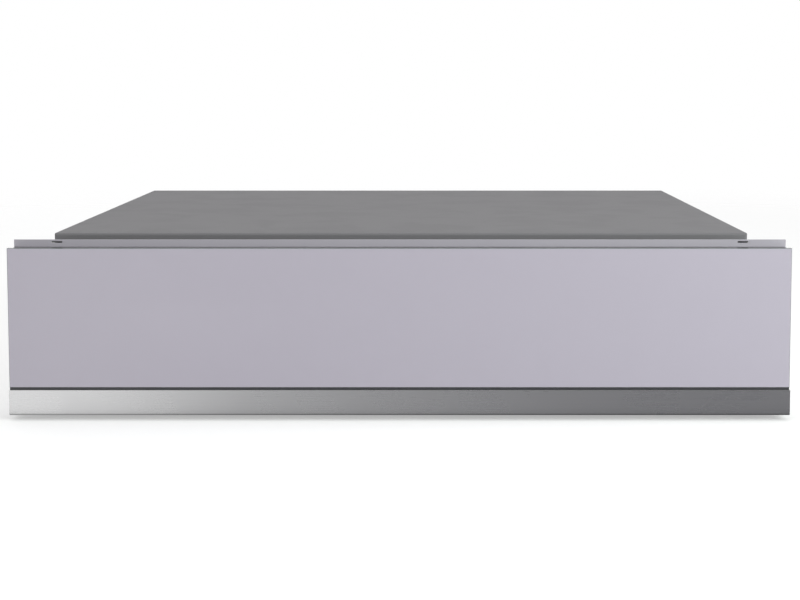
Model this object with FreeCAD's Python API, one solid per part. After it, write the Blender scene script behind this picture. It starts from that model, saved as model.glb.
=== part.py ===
"""Built-in vacuum sealing drawer, 14 cm niche class.

A fixed sheet-steel casing carries a drawer on two three-piece ball slides. The drawer holds a
deep-drawn vacuum chamber with a hinged glass lid, a lifting sealing bar and, behind them, the
pump bay. Lengths are in millimetres. While the pieces are built, x runs to the right, y is the
depth behind the front plane and z is the height above the floor.
"""
import FreeCAD, Part
import math
import os

from FreeCAD import Vector

# Overall size and the space that the front leaves
front_width = 595.0
overall_depth = 550.0
overall_height = 136.5
casing_side_inset = 19.5
pad_height = 3.0
front_ground_gap = 4.3

# Sheets and general clearances
sheet = 1.0
drawer_sheet = 1.2
sheet_bend = 0.9
drawer_bend = 1.7
running_gap = 0.3
shaft_gap = 0.05
fit_gap = 0.2
touch = 1e-6

# Drawer front: glass above a metal strip, on a folded carrier and a taller back plate
strip_height = 19.4
seam_height = 2.0
seam_recess = 1.5
back_plate_rise = 4.2
glass_thickness = 5.0
glass_side_inset = 0.5
glass_edge = 0.4
strip_bend_radius = 1.3
carrier_depth = 19.7
carrier_top_drop = 1.4
back_plate_thickness = 1.0
front_stop_gap = 2.3

# Casing
cover_start = 75.0
cover_lip = 5.5
cover_bend = 2.0
cover_skirt = 12.0
front_wall_drop = 5.0
side_flange = 15.0
side_flange_top_inset = 16.0
floor_flange = 9.0
back_recess = 14.0
pad_radius = 12.0
pad_inset = 40.0
cabinet_hole_radius = 2.25
cabinet_hole_inset = 12.5
bumper_radius = 4.0

# Vents in the back panels
vent_slot_length = 44.0
vent_slot_width = 4.0
vent_slot_pitch = 11.0
vent_rows = 5
vent_columns = 2
vent_column_pitch = 56.0
vent_low = 36.0
vent_offset = -110.0
tray_vent_rows = 4
bay_vent_rows = 3

# Mains cable gland
gland_side_gap = 51.0
gland_height = 34.0
gland_radius = 8.5
gland_nut_radius = 11.0
gland_nut = 3.0
gland_bore = 4.0
gland_length = 11.0

# Three-piece ball slides
slide_overlap = 40.0
slide_thickness = 12.0
slide_height = 45.0
slide_center = 50.0
slide_start_gap = 2.0
slide_end_gap = 5.0
slide_metal = 1.2
slide_bend = 1.0
ball_space = 3.2
ball_lip = 2.0
web_space = 1.0
cage_metal = 0.4
cage_arm = 0.6
cage_margin = 5.0
cage_slot_length = 12.0
cage_slots = 5

# Touch latches beside the drawer
latch_low = 10.0
latch_height = 14.0
latch_length = 52.0
latch_side_gap = 1.5
plunger_radius = 3.0
plunger_length = 34.0
plunger_nose = 1.2
plunger_travel = 3.0

# Drawer tray, deck and pump bay cover
tray_clearance = 5.0
deck_margin = 4.3
bay_cover_gap = 6.0
bay_slope = 12.0
tray_rear_gap = 8.0
tray_bead_width = 30.0
tray_bead_height = 1.4

# Front gussets and the slots that take their tabs
gusset_depth = 44.0
gusset_flange = 12.0
gusset_drop = 1.4
tab_recess = 0.6
slot_width = 8.0
slot_height = 1.0

# Control strip
control_front_gap = 5.5
control_depth = 40.0
control_width = 400.0
control_thickness = 3.0
control_frame = 6.0
board_thickness = 1.6
board_spacer = 4.0
key_count = 6
key_pitch = 44.0
key_half = 8.0
display_width = 60.0

# Chamber
chamber_width = 370.0
chamber_floor_gap = 2.8
chamber_wall = 2.0
chamber_corner = 30.0
chamber_floor_radius = 10.0
rim_width = 15.0
rim_thickness = 6.0
rim_corner = 20.0
lid_front_gap = 6.5
seal_width = 6.0
seal_outer_inset = 4.0
seal_foot = 3.0
seal_rise = 1.8
seal_bevel = 1.0
post_half = 5.0
post_inset = 70.0

# Lid and its hinges
lid_swing_room = 36.0
lid_seat = 2.0
lid_thickness = 10.0
lid_edge = 0.8
hinge_gap = 6.0
hinge_barrel_radius = 6.0
hinge_barrel_length = 24.0
hinge_pin_radius = 3.0
hinge_spread = 130.0
hinge_ear = 4.0
hinge_foot = 0.6
hinge_arm_thickness = 3.0
hinge_arm_length = 30.0
hinge_bracket_front_gap = 1.5
grip_length = 120.0
grip_depth = 7.0
grip_metal = 0.8

# Sealing bar, its lift and the counter bar under the lid
bar_length = 330.0
bar_width = 14.0
bar_height = 18.0
bar_bevel = 2.0
bar_wall_gap = 11.0
bar_lift = 5.0
band_width = 5.0
band_thickness = 0.4
counter_bar_height = 6.0
lift_cylinder_radius = 8.0
lift_cylinder_gap = 5.3
lift_rod_radius = 4.0
lift_spread = 120.0
lift_bore_floor = 4.0

# Suction port, valves and hoses
port_offset = 40.0
port_clearance = 1.0
port_radius = 5.0
port_bore = 3.0
port_flange_radius = 14.0
port_flange = 2.0
port_slots = 3
port_slot_width = 2.0
port_slot_length = 20.0
port_length = 12.0
hose_radius = 7.0
valve_gap = 22.0
valve_length = 60.0
valve_depth = 30.0
coil_size = 25.0
coil_height = 16.0
coil_gap = 2.8
coil_core_radius = 5.0
coil_core_height = 3.0
hose_bend_radius = 26.0

# Pump with its two finned heads and the fan on its shaft
pump_center = -110.0
bay_length = 192.1
pump_setback = 64.0
pump_mount_height = 9.8
motor_radius = 38.0
motor_length = 120.0
motor_ribs = 3
motor_rib_height = 2.0
motor_rib_width = 3.0
crankcase_width = 26.0
crankcase_size = 80.0
crankcase_corner = 10.0
head_depth = 30.0
head_size = 60.0
head_fins = 5
head_fin_gap = 3.4
head_fin_depth = 18.0
mount_half = 8.0
shaft_radius = 4.0
fan_radius = 33.0
fan_hub_radius = 9.0
fan_width = 14.0
fan_blades = 7
fan_blade_thickness = 1.4
fan_blade_chord = 16.0
fan_blade_angle = 38.0
fan_tip_gap = 1.5
shroud_wall = 2.0
shroud_length = 24.0
shroud_spokes = 4
shroud_spoke_width = 4.0
shroud_spoke_thickness = 2.0

# Transformer and power board
transformer_board_gap = 12.0
transformer_setback = 56.0
transformer_radius = 48.0
transformer_bore = 16.0
transformer_height = 42.0
transformer_bevel = 10.0
transformer_pad = 2.0
clamp_radius = 30.0
clamp_thickness = 2.0
clamp_dish = 5.0
bolt_radius = 4.0
nut_height = 6.0
nut_sides = 6
power_board_side_gap = 8.8
power_board_width = 84.0
power_board_depth = 130.0
power_board_setback = 14.0
power_board_height = 10.0
standoff_half = 4.0
standoff_inset = 7.0
relay_size = 16.0
relay_height = 20.0
relay_pitch = 24.0
relay_count = 3
capacitor_radius = 9.0
capacitor_height = 30.0
heatsink_fins = 6
heatsink_fin = 1.6
heatsink_height = 28.0
heatsink_base = 4.0
heatsink_length = 60.0

# Levels and planes that several pieces share
front_low = front_ground_gap
strip_top = front_low + strip_height
glass_low = strip_top + seam_height
front_top = overall_height - back_plate_rise
plate_front = glass_thickness + carrier_depth
plate_back = plate_front + back_plate_thickness
casing_front = plate_back + front_stop_gap
cover_half = front_width / 2 - casing_side_inset
wall_outer = cover_half - sheet
wall_inner = wall_outer - sheet
cover_under = overall_height - sheet
lip_low = overall_height - cover_lip
wall_low_top = lip_low - front_wall_drop
base_top = pad_height + sheet
flange_low = base_top + floor_flange
flange_top = wall_low_top - side_flange_top_inset
back_inner = overall_depth - back_recess - sheet
slide_front = casing_front + slide_start_gap
slide_length = back_inner - slide_end_gap - slide_front
travel = slide_length - slide_overlap
drawer_half = wall_inner - slide_thickness
tray_inner = drawer_half - drawer_sheet
tray_low = base_top + tray_clearance
tray_floor = tray_low + drawer_sheet
tray_rear = back_inner - tray_rear_gap
bay_rear = tray_rear - drawer_sheet
lid_top = lip_low - lid_swing_room
lid_low = lid_top - lid_thickness
deck_top = lid_low - lid_seat
deck_under = deck_top - drawer_sheet
bay_top = lip_low - bay_cover_gap
control_front = plate_back + control_front_gap
rim_front = control_front + control_depth + lid_front_gap
rim_rear = bay_rear - bay_length
rim_half = chamber_width / 2 + rim_width
chamber_front = rim_front + rim_width
chamber_rear = rim_rear - rim_width
rim_under = deck_top - rim_thickness
chamber_floor = tray_floor + chamber_floor_gap + chamber_wall
hinge_depth = rim_rear + hinge_gap
hinge_height = (lid_low + lid_top) / 2
deck_rear = hinge_depth + hinge_barrel_radius + deck_margin
bar_front = chamber_front + bar_wall_gap
bar_center = bar_front + bar_width / 2
counter_low = lid_low - counter_bar_height
band_top = counter_low - running_gap - bar_lift
bar_top = band_top - band_thickness
bar_low = bar_top - bar_height
port_height = chamber_floor + chamber_floor_radius + port_flange_radius + port_clearance
pump_depth = bay_rear - pump_setback
crankcase_low = tray_floor + pump_mount_height
pump_axis_height = crankcase_low + crankcase_size / 2
crankcase_front = pump_depth - crankcase_size / 2
head_front = crankcase_front - head_depth
motor_left = pump_center - motor_length / 2
motor_right = pump_center + motor_length / 2
head_center_right = motor_right + crankcase_width / 2
head_center_left = motor_left - crankcase_width / 2
valve_front = chamber_rear + chamber_wall + valve_gap
valve_top = deck_under - coil_gap - coil_core_height - coil_height
valve_left = port_offset - valve_length / 2
gland_center = wall_inner - gland_side_gap
power_board_center = tray_inner - power_board_side_gap - power_board_width / 2
board_left = power_board_center - power_board_width / 2
transformer_center = board_left - transformer_board_gap - transformer_radius

X = Vector(1, 0, 0)
Y = Vector(0, 1, 0)
Z = Vector(0, 0, 1)


def block(x0, x1, y0, y1, z0, z1):
    """Box between two x, two depth and two height planes."""
    return Part.makeBox(x1 - x0, y1 - y0, z1 - z0, Vector(x0, y0, z0))


def rod(radius, x, y, z, axis, length):
    """Cylinder that starts at a point and runs along an axis."""
    return Part.makeCylinder(radius, length, Vector(x, y, z), axis)


def tube(outer, inner, x, y, z, axis, length):
    """Cylinder with a bore right through it."""
    return rod(outer, x, y, z, axis, length).cut(rod(inner, x, y, z, axis, length))


def edges_along(shape, axis, **at):
    """Straight edges that run along one axis, at the given x, y or z positions."""
    found = []
    for edge in shape.Edges:
        box = edge.BoundBox
        spans = {"x": box.XLength, "y": box.YLength, "z": box.ZLength}
        middle = {"x": box.Center.x, "y": box.Center.y, "z": box.Center.z}
        straight = all(spans[name] < touch for name in spans if name != axis)
        placed = all(abs(middle[name] - at[name]) < touch for name in at)
        if straight and placed:
            found.append(edge)
    return found


def rounded_block(x0, x1, y0, y1, z0, z1, radius):
    """Box with its four upright edges rounded."""
    shape = block(x0, x1, y0, y1, z0, z1)
    return shape.makeFillet(radius, edges_along(shape, "z"))


def plate_from(points, thickness, axis):
    """Flat plate whose outline is given by its corners, extruded along an axis."""
    outline = Part.makePolygon(points + [points[0]])
    return Part.Face(outline).extrude(axis * thickness)


def join(shapes):
    """One solid out of shapes that touch or overlap."""
    first = shapes[0]
    return first.fuse(shapes[1:]).removeSplitter()


def mirrored(shape):
    """The same piece on the other side of the middle plane."""
    return shape.mirror(Vector(0, 0, 0), X)


def write(name, *solids):
    """Write one node, moved so that the origin is in the middle of the footprint."""
    shape = solids[0] if len(solids) == 1 else Part.makeCompound(list(solids))
    placed = shape.copy()
    placed.translate(Vector(0, -overall_depth / 2, 0))
    placed.exportStep("parts/" + name + ".step")


def vent_slots(y0, y1, low, rows):
    """Cutters for rows of vent slots in a back panel, level with the fan of the pump."""
    cutters = []
    for column in range(vent_columns):
        x = vent_offset + (column - (vent_columns - 1) / 2) * vent_column_pitch
        for row in range(rows):
            z = low + row * vent_slot_pitch
            cutters.append(block(x - vent_slot_length / 2, x + vent_slot_length / 2,
                                 y0, y1, z, z + vent_slot_width))
    return cutters


def round_ended(slots):
    """The same slots with half-round ends."""
    ends = []
    for slot in slots:
        box = slot.BoundBox
        radius = box.ZLength / 2
        for x in (box.XMin, box.XMax):
            ends.append(rod(radius, x, box.YMin, box.Center.z, Y, box.YLength))
    return slots + ends


# Casing

def housing_base():
    """Floor sheet of the casing."""
    return block(-wall_outer, wall_outer, casing_front, overall_depth, pad_height, base_top)


def base_pads():
    """Four low pads under the floor sheet."""
    pads = []
    for x in (-wall_outer + pad_inset, wall_outer - pad_inset):
        for y in (casing_front + pad_inset, overall_depth - pad_inset):
            pads.append(rod(pad_radius, x, y, 0, Z, pad_height))
    return pads


def side_wall():
    """Right casing wall, with its cabinet flange in front and its foot on the floor sheet."""
    corners = [
        Vector(wall_inner, casing_front, base_top),
        Vector(wall_inner, overall_depth, base_top),
        Vector(wall_inner, overall_depth, cover_under),
        Vector(wall_inner, cover_start + sheet, cover_under),
        Vector(wall_inner, cover_start + sheet, wall_low_top),
        Vector(wall_inner, casing_front, wall_low_top),
    ]
    wall = plate_from(corners, sheet, X)
    flange = block(wall_inner, wall_outer + side_flange, casing_front, casing_front + sheet,
                   flange_low, flange_top)
    foot = block(wall_inner - floor_flange, wall_inner, casing_front + floor_flange, back_inner,
                 base_top, base_top + sheet)
    holes = [rod(cabinet_hole_radius, wall_outer + side_flange / 2, casing_front, z, Y, sheet)
             for z in (flange_low + cabinet_hole_inset, flange_top - cabinet_hole_inset)]
    return join([wall, flange, foot]).cut(holes)


def housing_back():
    """Back panel, set forward so that the gland stays inside the footprint."""
    panel = block(-wall_inner, wall_inner, back_inner, back_inner + sheet, base_top, cover_under)
    cutters = round_ended(vent_slots(back_inner, back_inner + sheet, vent_low, vent_rows))
    cutters.append(rod(gland_radius, gland_center, back_inner, gland_height, Y, sheet))
    return panel.cut(cutters)


def mains_gland():
    """Cable gland: a stem through the back panel, a nut inside and a cap outside."""
    inside = back_inner - gland_nut
    outside = back_inner + sheet
    stem = rod(gland_radius, gland_center, inside, gland_height, Y, outside - inside)
    nut = rod(gland_nut_radius, gland_center, inside, gland_height, Y, gland_nut)
    cap = Part.makeCone(gland_nut_radius, gland_radius, gland_length,
                        Vector(gland_center, outside, gland_height), Y)
    bore = rod(gland_bore, gland_center, inside, gland_height, Y, outside + gland_length - inside)
    return join([stem, nut, cap]).cut(bore)


def top_cover():
    """Cover sheet with a turned-down lip in front and skirts along both sides."""
    skirt_low = overall_height - cover_skirt
    top = block(-cover_half, cover_half, cover_start, overall_depth, cover_under, overall_height)
    lip = block(-cover_half, cover_half, cover_start, cover_start + sheet,
                lip_low, cover_under)
    skirt = block(wall_outer, cover_half, cover_start + sheet, overall_depth, skirt_low, cover_under)
    corner = block(wall_outer, cover_half, cover_start, cover_start + sheet,
                   skirt_low, lip_low)
    shape = join([top, lip, skirt, mirrored(skirt), corner, mirrored(corner)])
    side_bends = [edge for x in (-cover_half, cover_half)
                  for edge in edges_along(shape, "y", x=x, z=overall_height)]
    shape = shape.makeFillet(sheet_bend, side_bends)
    shape = shape.makeFillet(cover_bend, edges_along(shape, "x", y=cover_start, z=overall_height))
    return shape.makeFillet(cover_bend - sheet, edges_along(shape, "x", y=cover_start + sheet, z=cover_under))


def front_bumpers():
    """Rubber buttons on the cabinet flanges that meet the closing front."""
    x = wall_outer + side_flange / 2
    z = (flange_low + flange_top) / 2
    button = rod(bumper_radius, x, plate_back + running_gap, z, Y, front_stop_gap - running_gap)
    return button, mirrored(button)


# Three-piece ball slides

outer_half = slide_height / 2
middle_half = outer_half - slide_metal - ball_space
inner_half = middle_half - slide_metal - ball_space
outer_web = wall_inner - slide_metal
middle_web = outer_web - web_space
inner_web = drawer_half + slide_metal
slide_tip = inner_web + web_space


def channel(web, tip, half, metal, lip):
    """C-shaped rolled profile along the slide: a web, two flanges and lips that trap the balls."""
    side = 1 if tip > web else -1
    profile = [
        (web, -half), (tip, -half), (tip, -half + metal + lip), (tip - side * metal, -half + metal + lip),
        (tip - side * metal, -half + metal), (web + side * metal, -half + metal),
    ]
    upper = [(x, -z) for x, z in reversed(profile)]
    corners = [Vector(x, slide_front, slide_center + z) for x, z in profile + upper]
    shape = plate_from(corners, slide_length, Y)
    bends = edges_along(shape, "y", x=web)
    return shape.makeFillet(slide_bend, bends)


def outer_rail():
    return channel(wall_inner, slide_tip, outer_half, slide_metal, ball_lip)


def middle_rail():
    return channel(middle_web, slide_tip, middle_half, slide_metal, ball_lip)


def inner_rail():
    return channel(drawer_half, middle_web - slide_metal - web_space, inner_half, slide_metal, 0.0)


def ball_cage(web, half):
    """Thin strip between two slide members, with a slotted arm in each ball race."""
    web_side = web - (web_space - cage_metal) / 2
    arm_reach = slide_tip + slide_metal + running_gap
    race = half + ball_space / 2
    start = slide_front + travel / 4 + cage_margin
    length = slide_length - travel / 2 - 2 * cage_margin
    strip = block(web_side - cage_metal, web_side, start, start + length,
                  slide_center - race - cage_arm / 2, slide_center + race + cage_arm / 2)
    arms = []
    slots = []
    for side in (-1, 1):
        z = slide_center + side * race
        arms.append(block(arm_reach, web_side, start, start + length, z - cage_arm / 2, z + cage_arm / 2))
        for step in range(cage_slots):
            y = start + (step + 0.5) * length / cage_slots
            slots.append(block(arm_reach + cage_metal, web_side - 3 * cage_metal,
                               y - cage_slot_length / 2, y + cage_slot_length / 2,
                               z - cage_arm, z + cage_arm))
    return join([strip] + arms).cut(slots)


def outer_cage():
    return ball_cage(outer_web, middle_half)


def inner_cage():
    return ball_cage(middle_web - slide_metal, inner_half)


# Touch latches

latch_center = (drawer_half + latch_side_gap + wall_inner) / 2
plunger_height = latch_low + latch_height / 2


def latch_body():
    """Spring latch on the casing wall, with the bore that its plunger sinks into."""
    start = casing_front + slide_start_gap
    body = block(drawer_half + latch_side_gap, wall_inner, start, start + latch_length,
                 latch_low, latch_low + latch_height)
    bore_end = plate_back + running_gap + plunger_length + plunger_travel + running_gap
    bore = rod(plunger_radius + shaft_gap, latch_center, start, plunger_height, Y, bore_end - start)
    return body.cut(bore)


def latch_plunger():
    """Plunger with a tapered nose that meets the back plate of the front."""
    tip = plate_back + running_gap
    pin = rod(plunger_radius, latch_center, tip, plunger_height, Y, plunger_length)
    nose = [edge for edge in pin.Edges if edge.BoundBox.YMax < tip + touch]
    return pin.makeChamfer(plunger_nose, nose)


# Drawer front

front_half = front_width / 2


def front_glass():
    """Back-lacquered glass panel with ground edges."""
    half = front_half - glass_side_inset
    pane = block(-half, half, 0, glass_thickness, glass_low, front_top)
    rim = [edge for edge in pane.Edges if edge.BoundBox.YLength < touch and edge.BoundBox.YMax < touch]
    return pane.makeChamfer(glass_edge, rim)


def front_strip():
    """Folded metal strip below the glass, bent back along its lower edge."""
    outside = block(-front_half, front_half, 0, glass_thickness, front_low, strip_top)
    bend = edges_along(outside, "x", y=0, z=front_low)
    outside = outside.makeFillet(strip_bend_radius, bend)
    inside = block(-front_half + sheet, front_half - sheet, sheet, glass_thickness,
                   front_low + sheet, strip_top - sheet)
    return outside.cut(inside)


def seam_gasket():
    """Dark gasket in the joint between glass and strip."""
    half = front_half - glass_side_inset
    return block(-half, half, seam_recess, glass_thickness, strip_top, glass_low)


def front_carrier():
    """Folded tray, open to the back, that the glass and the strip are fixed to."""
    top = front_top - carrier_top_drop
    outside = block(-front_half, front_half, glass_thickness, plate_front, front_low, top)
    outside = outside.makeFillet(sheet_bend, edges_along(outside, "y"))
    inside = block(-front_half + sheet, front_half - sheet, glass_thickness + sheet, plate_front,
                   front_low + sheet, top - sheet)
    return outside.cut(inside)


gusset_outer = drawer_half
gusset_top = overall_height - gusset_drop
tab_inner = gusset_outer - (slot_width - drawer_sheet) / 2
tab_outer = tab_inner + slot_width


def front_back_plate():
    """Plate behind the carrier that stands above it, with slots for the gusset tabs."""
    plate = block(-front_half, front_half, plate_front, plate_back, front_low, overall_height)
    slot = block(tab_inner - fit_gap, tab_outer + fit_gap, plate_front, plate_back,
                 gusset_top - slot_height - fit_gap, gusset_top + fit_gap)
    return plate.cut([slot, mirrored(slot)])


def front_gusset():
    """Right stiffener between the deck and the tall back plate."""
    inner = gusset_outer - drawer_sheet
    rear = plate_back + gusset_depth
    corners = [
        Vector(inner, plate_back, deck_top),
        Vector(inner, rear, deck_top),
        Vector(inner, rear, deck_top + gusset_flange),
        Vector(inner, plate_back + gusset_flange / 2, gusset_top),
        Vector(inner, plate_back, gusset_top),
    ]
    web = plate_from(corners, drawer_sheet, X)
    foot = block(inner - gusset_flange, inner, plate_back, rear, deck_top, deck_top + drawer_sheet)
    face = block(inner - gusset_flange, inner, plate_back, plate_back + drawer_sheet,
                 deck_top, gusset_top - 2 * slot_height)
    tab = block(tab_inner, tab_outer, plate_front + tab_recess, plate_back + gusset_flange / 2,
                gusset_top - slot_height, gusset_top)
    return join([web, foot, face, tab])


# Drawer tray, deck and bay cover

def drawer_tray():
    """Folded pan with two stiffening beads and vent slots at the back."""
    outside = block(-drawer_half, drawer_half, plate_back, tray_rear, tray_low, deck_under)
    outside = outside.makeFillet(drawer_bend, edges_along(outside, "y", z=tray_low))
    inside = block(-tray_inner, tray_inner, plate_back + drawer_sheet, bay_rear, tray_floor, deck_under)
    pan = outside.cut(inside)
    beads = []
    cuts = []
    for x in (-drawer_half / 2, drawer_half / 2):
        beads.append(block(x - tray_bead_width / 2, x + tray_bead_width / 2,
                           rim_front, rim_rear, tray_floor, tray_floor + tray_bead_height))
        cuts.append(block(x - tray_bead_width / 2 + drawer_sheet, x + tray_bead_width / 2 - drawer_sheet,
                          rim_front + drawer_sheet, rim_rear - drawer_sheet,
                          tray_low, tray_low + tray_bead_height))
    slots = vent_slots(bay_rear, tray_rear, vent_low, tray_vent_rows)
    return join([pan] + beads).cut(cuts + slots)


def deck_plate():
    """Brushed deck around the chamber, with a window under the control strip."""
    plate = block(-drawer_half, drawer_half, plate_back, deck_rear, deck_under, deck_top)
    mouth = rounded_block(-rim_half - fit_gap, rim_half + fit_gap, rim_front - fit_gap,
                          rim_rear + fit_gap, deck_under, deck_top, rim_corner)
    half = control_width / 2 - control_frame
    window = block(-half, half, control_front + control_frame,
                   control_front + control_depth - control_frame, deck_under, deck_top)
    return plate.cut([mouth, window])


def bay_cover():
    """Hood over the pump bay with a sloping front."""
    def hood(half, front, rear, low, high):
        corners = [
            Vector(-half, front, low),
            Vector(-half, rear, low),
            Vector(-half, rear, high),
            Vector(-half, front + bay_slope, high),
        ]
        return plate_from(corners, 2 * half, X)
    outside = hood(drawer_half, deck_rear, tray_rear, deck_under, bay_top)
    outside = outside.makeFillet(drawer_bend, edges_along(outside, "x", z=bay_top))
    inside = hood(tray_inner, deck_rear + drawer_sheet, bay_rear, deck_under, bay_top - drawer_sheet)
    slots = vent_slots(bay_rear, tray_rear, deck_top + vent_slot_pitch, bay_vent_rows)
    return outside.cut([inside] + slots)


# Controls

def control_glass():
    """Touch glass in front of the lid."""
    half = control_width / 2
    pane = rounded_block(-half, half, control_front, control_front + control_depth,
                         deck_top, deck_top + control_thickness, 2.0)
    return pane


def control_board():
    """Sensor board under the deck window, on spacers against the deck."""
    half = control_width / 2 - 2 * control_frame
    board_top = deck_under - board_spacer
    y0 = control_front + control_frame
    y1 = control_front + control_depth - control_frame
    board = block(-half, half, y0 - control_frame / 2, y1 + control_frame / 2,
                  board_top - board_thickness, board_top)
    spacers = []
    for x in (-half / 2, half / 2):
        for y in (y0 - control_frame / 2, y1):
            spacers.append(block(x - control_frame, x + control_frame, y, y + control_frame / 2,
                                 board_top, deck_under))
    return join([board] + spacers)


def touch_sensors():
    """Square spring sensors and the display block between the board and the glass."""
    low = deck_under - board_spacer
    middle = control_front + control_depth / 2
    parts = []
    start = -(key_count - 1) / 2
    for step in range(key_count):
        side = 1 if step >= key_count / 2 else -1
        x = (start + step) * key_pitch + side * display_width / 2
        parts.append(block(x - key_half, x + key_half, middle - key_half, middle + key_half,
                           low, deck_top))
    parts.append(block(-display_width / 2, display_width / 2, middle - key_half, middle + key_half,
                       low, deck_top))
    return parts


# Chamber

def chamber_tub():
    """Deep-drawn tub with a round-edged floor and the hole of the suction port."""
    def bowl(grow):
        half = chamber_width / 2 + grow
        shape = rounded_block(-half, half, chamber_front - grow, chamber_rear + grow,
                              chamber_floor - grow, rim_under, chamber_corner + grow)
        floor = [edge for edge in shape.Edges if edge.BoundBox.ZMax < chamber_floor - grow + touch]
        return shape, floor
    outer, outer_floor = bowl(chamber_wall)
    outer = outer.makeChamfer(chamber_floor_radius / 2, outer_floor)
    inner, inner_floor = bowl(0.0)
    inner = inner.makeFillet(chamber_floor_radius, inner_floor)
    hole = rod(port_radius + fit_gap, port_offset, chamber_rear - chamber_wall, port_height, Y,
               3 * chamber_wall)
    return outer.cut([inner, hole])


def ring(inset_outer, inset_inner, corner_outer, corner_inner, low, high):
    """Upright-walled frame that follows the chamber rim between two insets."""
    outer = rounded_block(-rim_half + inset_outer, rim_half - inset_outer, rim_front + inset_outer,
                          rim_rear - inset_outer, low, high, corner_outer)
    inner = rounded_block(-rim_half + inset_inner, rim_half - inset_inner, rim_front + inset_inner,
                          rim_rear - inset_inner, low, high, corner_inner)
    return outer.cut(inner)


seal_inner_inset = seal_outer_inset + seal_width
groove_low = deck_top - seal_foot


def chamber_rim():
    """Machined frame welded on the tub, with the groove that holds the seal."""
    frame = ring(0.0, rim_width, rim_corner, chamber_corner, rim_under, deck_top)
    groove = ring(seal_outer_inset, seal_inner_inset, rim_corner - seal_outer_inset,
                  rim_corner - seal_inner_inset, groove_low, deck_top)
    return frame.cut(groove)


def chamber_seal():
    """Silicone seal: a foot in the groove and a bevelled head that meets the lid."""
    top = deck_top + seal_rise
    seal = ring(seal_outer_inset + fit_gap, seal_inner_inset - fit_gap,
                rim_corner - seal_outer_inset - fit_gap, rim_corner - seal_inner_inset + fit_gap,
                groove_low, top)
    crown = [edge for edge in seal.Edges if edge.BoundBox.ZMin > top - touch]
    return seal.makeChamfer(seal_bevel, crown)


def chamber_posts():
    """Posts between the tray floor and the rim."""
    posts = []
    x = rim_half - rim_width / 2 + chamber_wall / 2
    for y in (rim_front + post_inset, rim_rear - post_inset):
        post = block(x - post_half, x + post_half, y - post_half, y + post_half,
                     tray_floor, rim_under)
        posts.append(post)
        posts.append(mirrored(post))
    return posts


def suction_port():
    """Suction port: a slotted flange inside the tub and a spigot through its wall."""
    inside = chamber_rear - port_flange
    flange = rod(port_flange_radius, port_offset, inside, port_height, Y, port_flange)
    stem = rod(port_radius, port_offset, chamber_rear, port_height, Y, chamber_wall + port_length)
    bore = rod(port_bore, port_offset, inside + port_flange / 2, port_height, Y,
               port_flange + chamber_wall + port_length)
    holes = [bore]
    for step in range(port_slots):
        slot = block(port_offset - port_slot_length / 2, port_offset + port_slot_length / 2,
                     inside, inside + port_flange / 2,
                     port_height - port_slot_width / 2, port_height + port_slot_width / 2)
        slot.rotate(Vector(port_offset, inside, port_height), Y, 360 * step / (2 * port_slots))
        holes.append(slot)
    return join([flange, stem]).cut(holes)


def lift_cylinders():
    """Two small pneumatic cylinders on the chamber floor."""
    cylinders = []
    height = bar_low - lift_cylinder_gap - chamber_floor
    for x in (-lift_spread, lift_spread):
        body = rod(lift_cylinder_radius, x, bar_center, chamber_floor, Z, height)
        bore = rod(lift_rod_radius + shaft_gap, x, bar_center, chamber_floor + lift_bore_floor, Z,
                   height)
        cylinders.append(body.cut(bore))
    return cylinders


def sealing_bar():
    """Insulating bar body with bevelled upper edges, on the two rods of its lift."""
    half = bar_length / 2
    body = block(-half, half, bar_front, bar_front + bar_width, bar_low, bar_top)
    body = body.makeChamfer(bar_bevel, edges_along(body, "x", z=bar_top))
    rod_low = chamber_floor + lift_bore_floor + running_gap
    rods = [rod(lift_rod_radius, x, bar_center, rod_low, Z, bar_low - rod_low)
            for x in (-lift_spread, lift_spread)]
    return join([body] + rods)


def heating_band():
    """Flat resistance band along the top of the bar."""
    half = bar_length / 2 - band_width
    return block(-half, half, bar_center - band_width / 2, bar_center + band_width / 2, bar_top, band_top)


# Lid

def lid_glass():
    """Toughened glass lid with rounded corners and ground edges."""
    pane = rounded_block(-rim_half, rim_half, rim_front, rim_rear, lid_low, lid_top, rim_corner)
    rim = [edge for edge in pane.Edges if edge.BoundBox.ZLength < touch]
    return pane.makeChamfer(lid_edge, rim)


def counter_bar():
    """Silicone counter bar under the lid, opposite the sealing bar."""
    half = bar_length / 2
    bar = block(-half, half, bar_front, bar_front + bar_width, counter_low, lid_low)
    return bar.makeChamfer(bar_bevel, edges_along(bar, "x", z=counter_low))


def lid_grip():
    """Folded metal grip clipped over the front edge of the lid."""
    half = grip_length / 2
    front = rim_front - grip_metal
    top = block(-half, half, front, rim_front + grip_depth, lid_top, lid_top + grip_metal)
    face = block(-half, half, front, rim_front, lid_low - grip_metal, lid_top)
    under = block(-half, half, rim_front, rim_front + seal_outer_inset - running_gap,
                  lid_low - grip_metal, lid_low)
    return join([top, face, under])


def lid_hinge_arms():
    """Hinge arms bonded on the lid, each ending in a barrel round its pin."""
    arms = []
    for x in (-hinge_spread, hinge_spread):
        half = hinge_barrel_length / 2
        leaf = block(x - half, x + half, rim_rear - hinge_arm_length, hinge_depth,
                     lid_top, lid_top + hinge_arm_thickness)
        leaf = leaf.makeFillet(hinge_arm_thickness, edges_along(leaf, "z", y=rim_rear - hinge_arm_length))
        neck = block(x - half, x + half, rim_rear, hinge_depth, hinge_height, lid_top)
        barrel = rod(hinge_barrel_radius, x - half, hinge_depth, hinge_height, X, hinge_barrel_length)
        bore = rod(hinge_pin_radius + shaft_gap, x - half, hinge_depth, hinge_height, X,
                   hinge_barrel_length)
        arms.append(join([leaf, neck, barrel]).cut(bore))
    return arms


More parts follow.
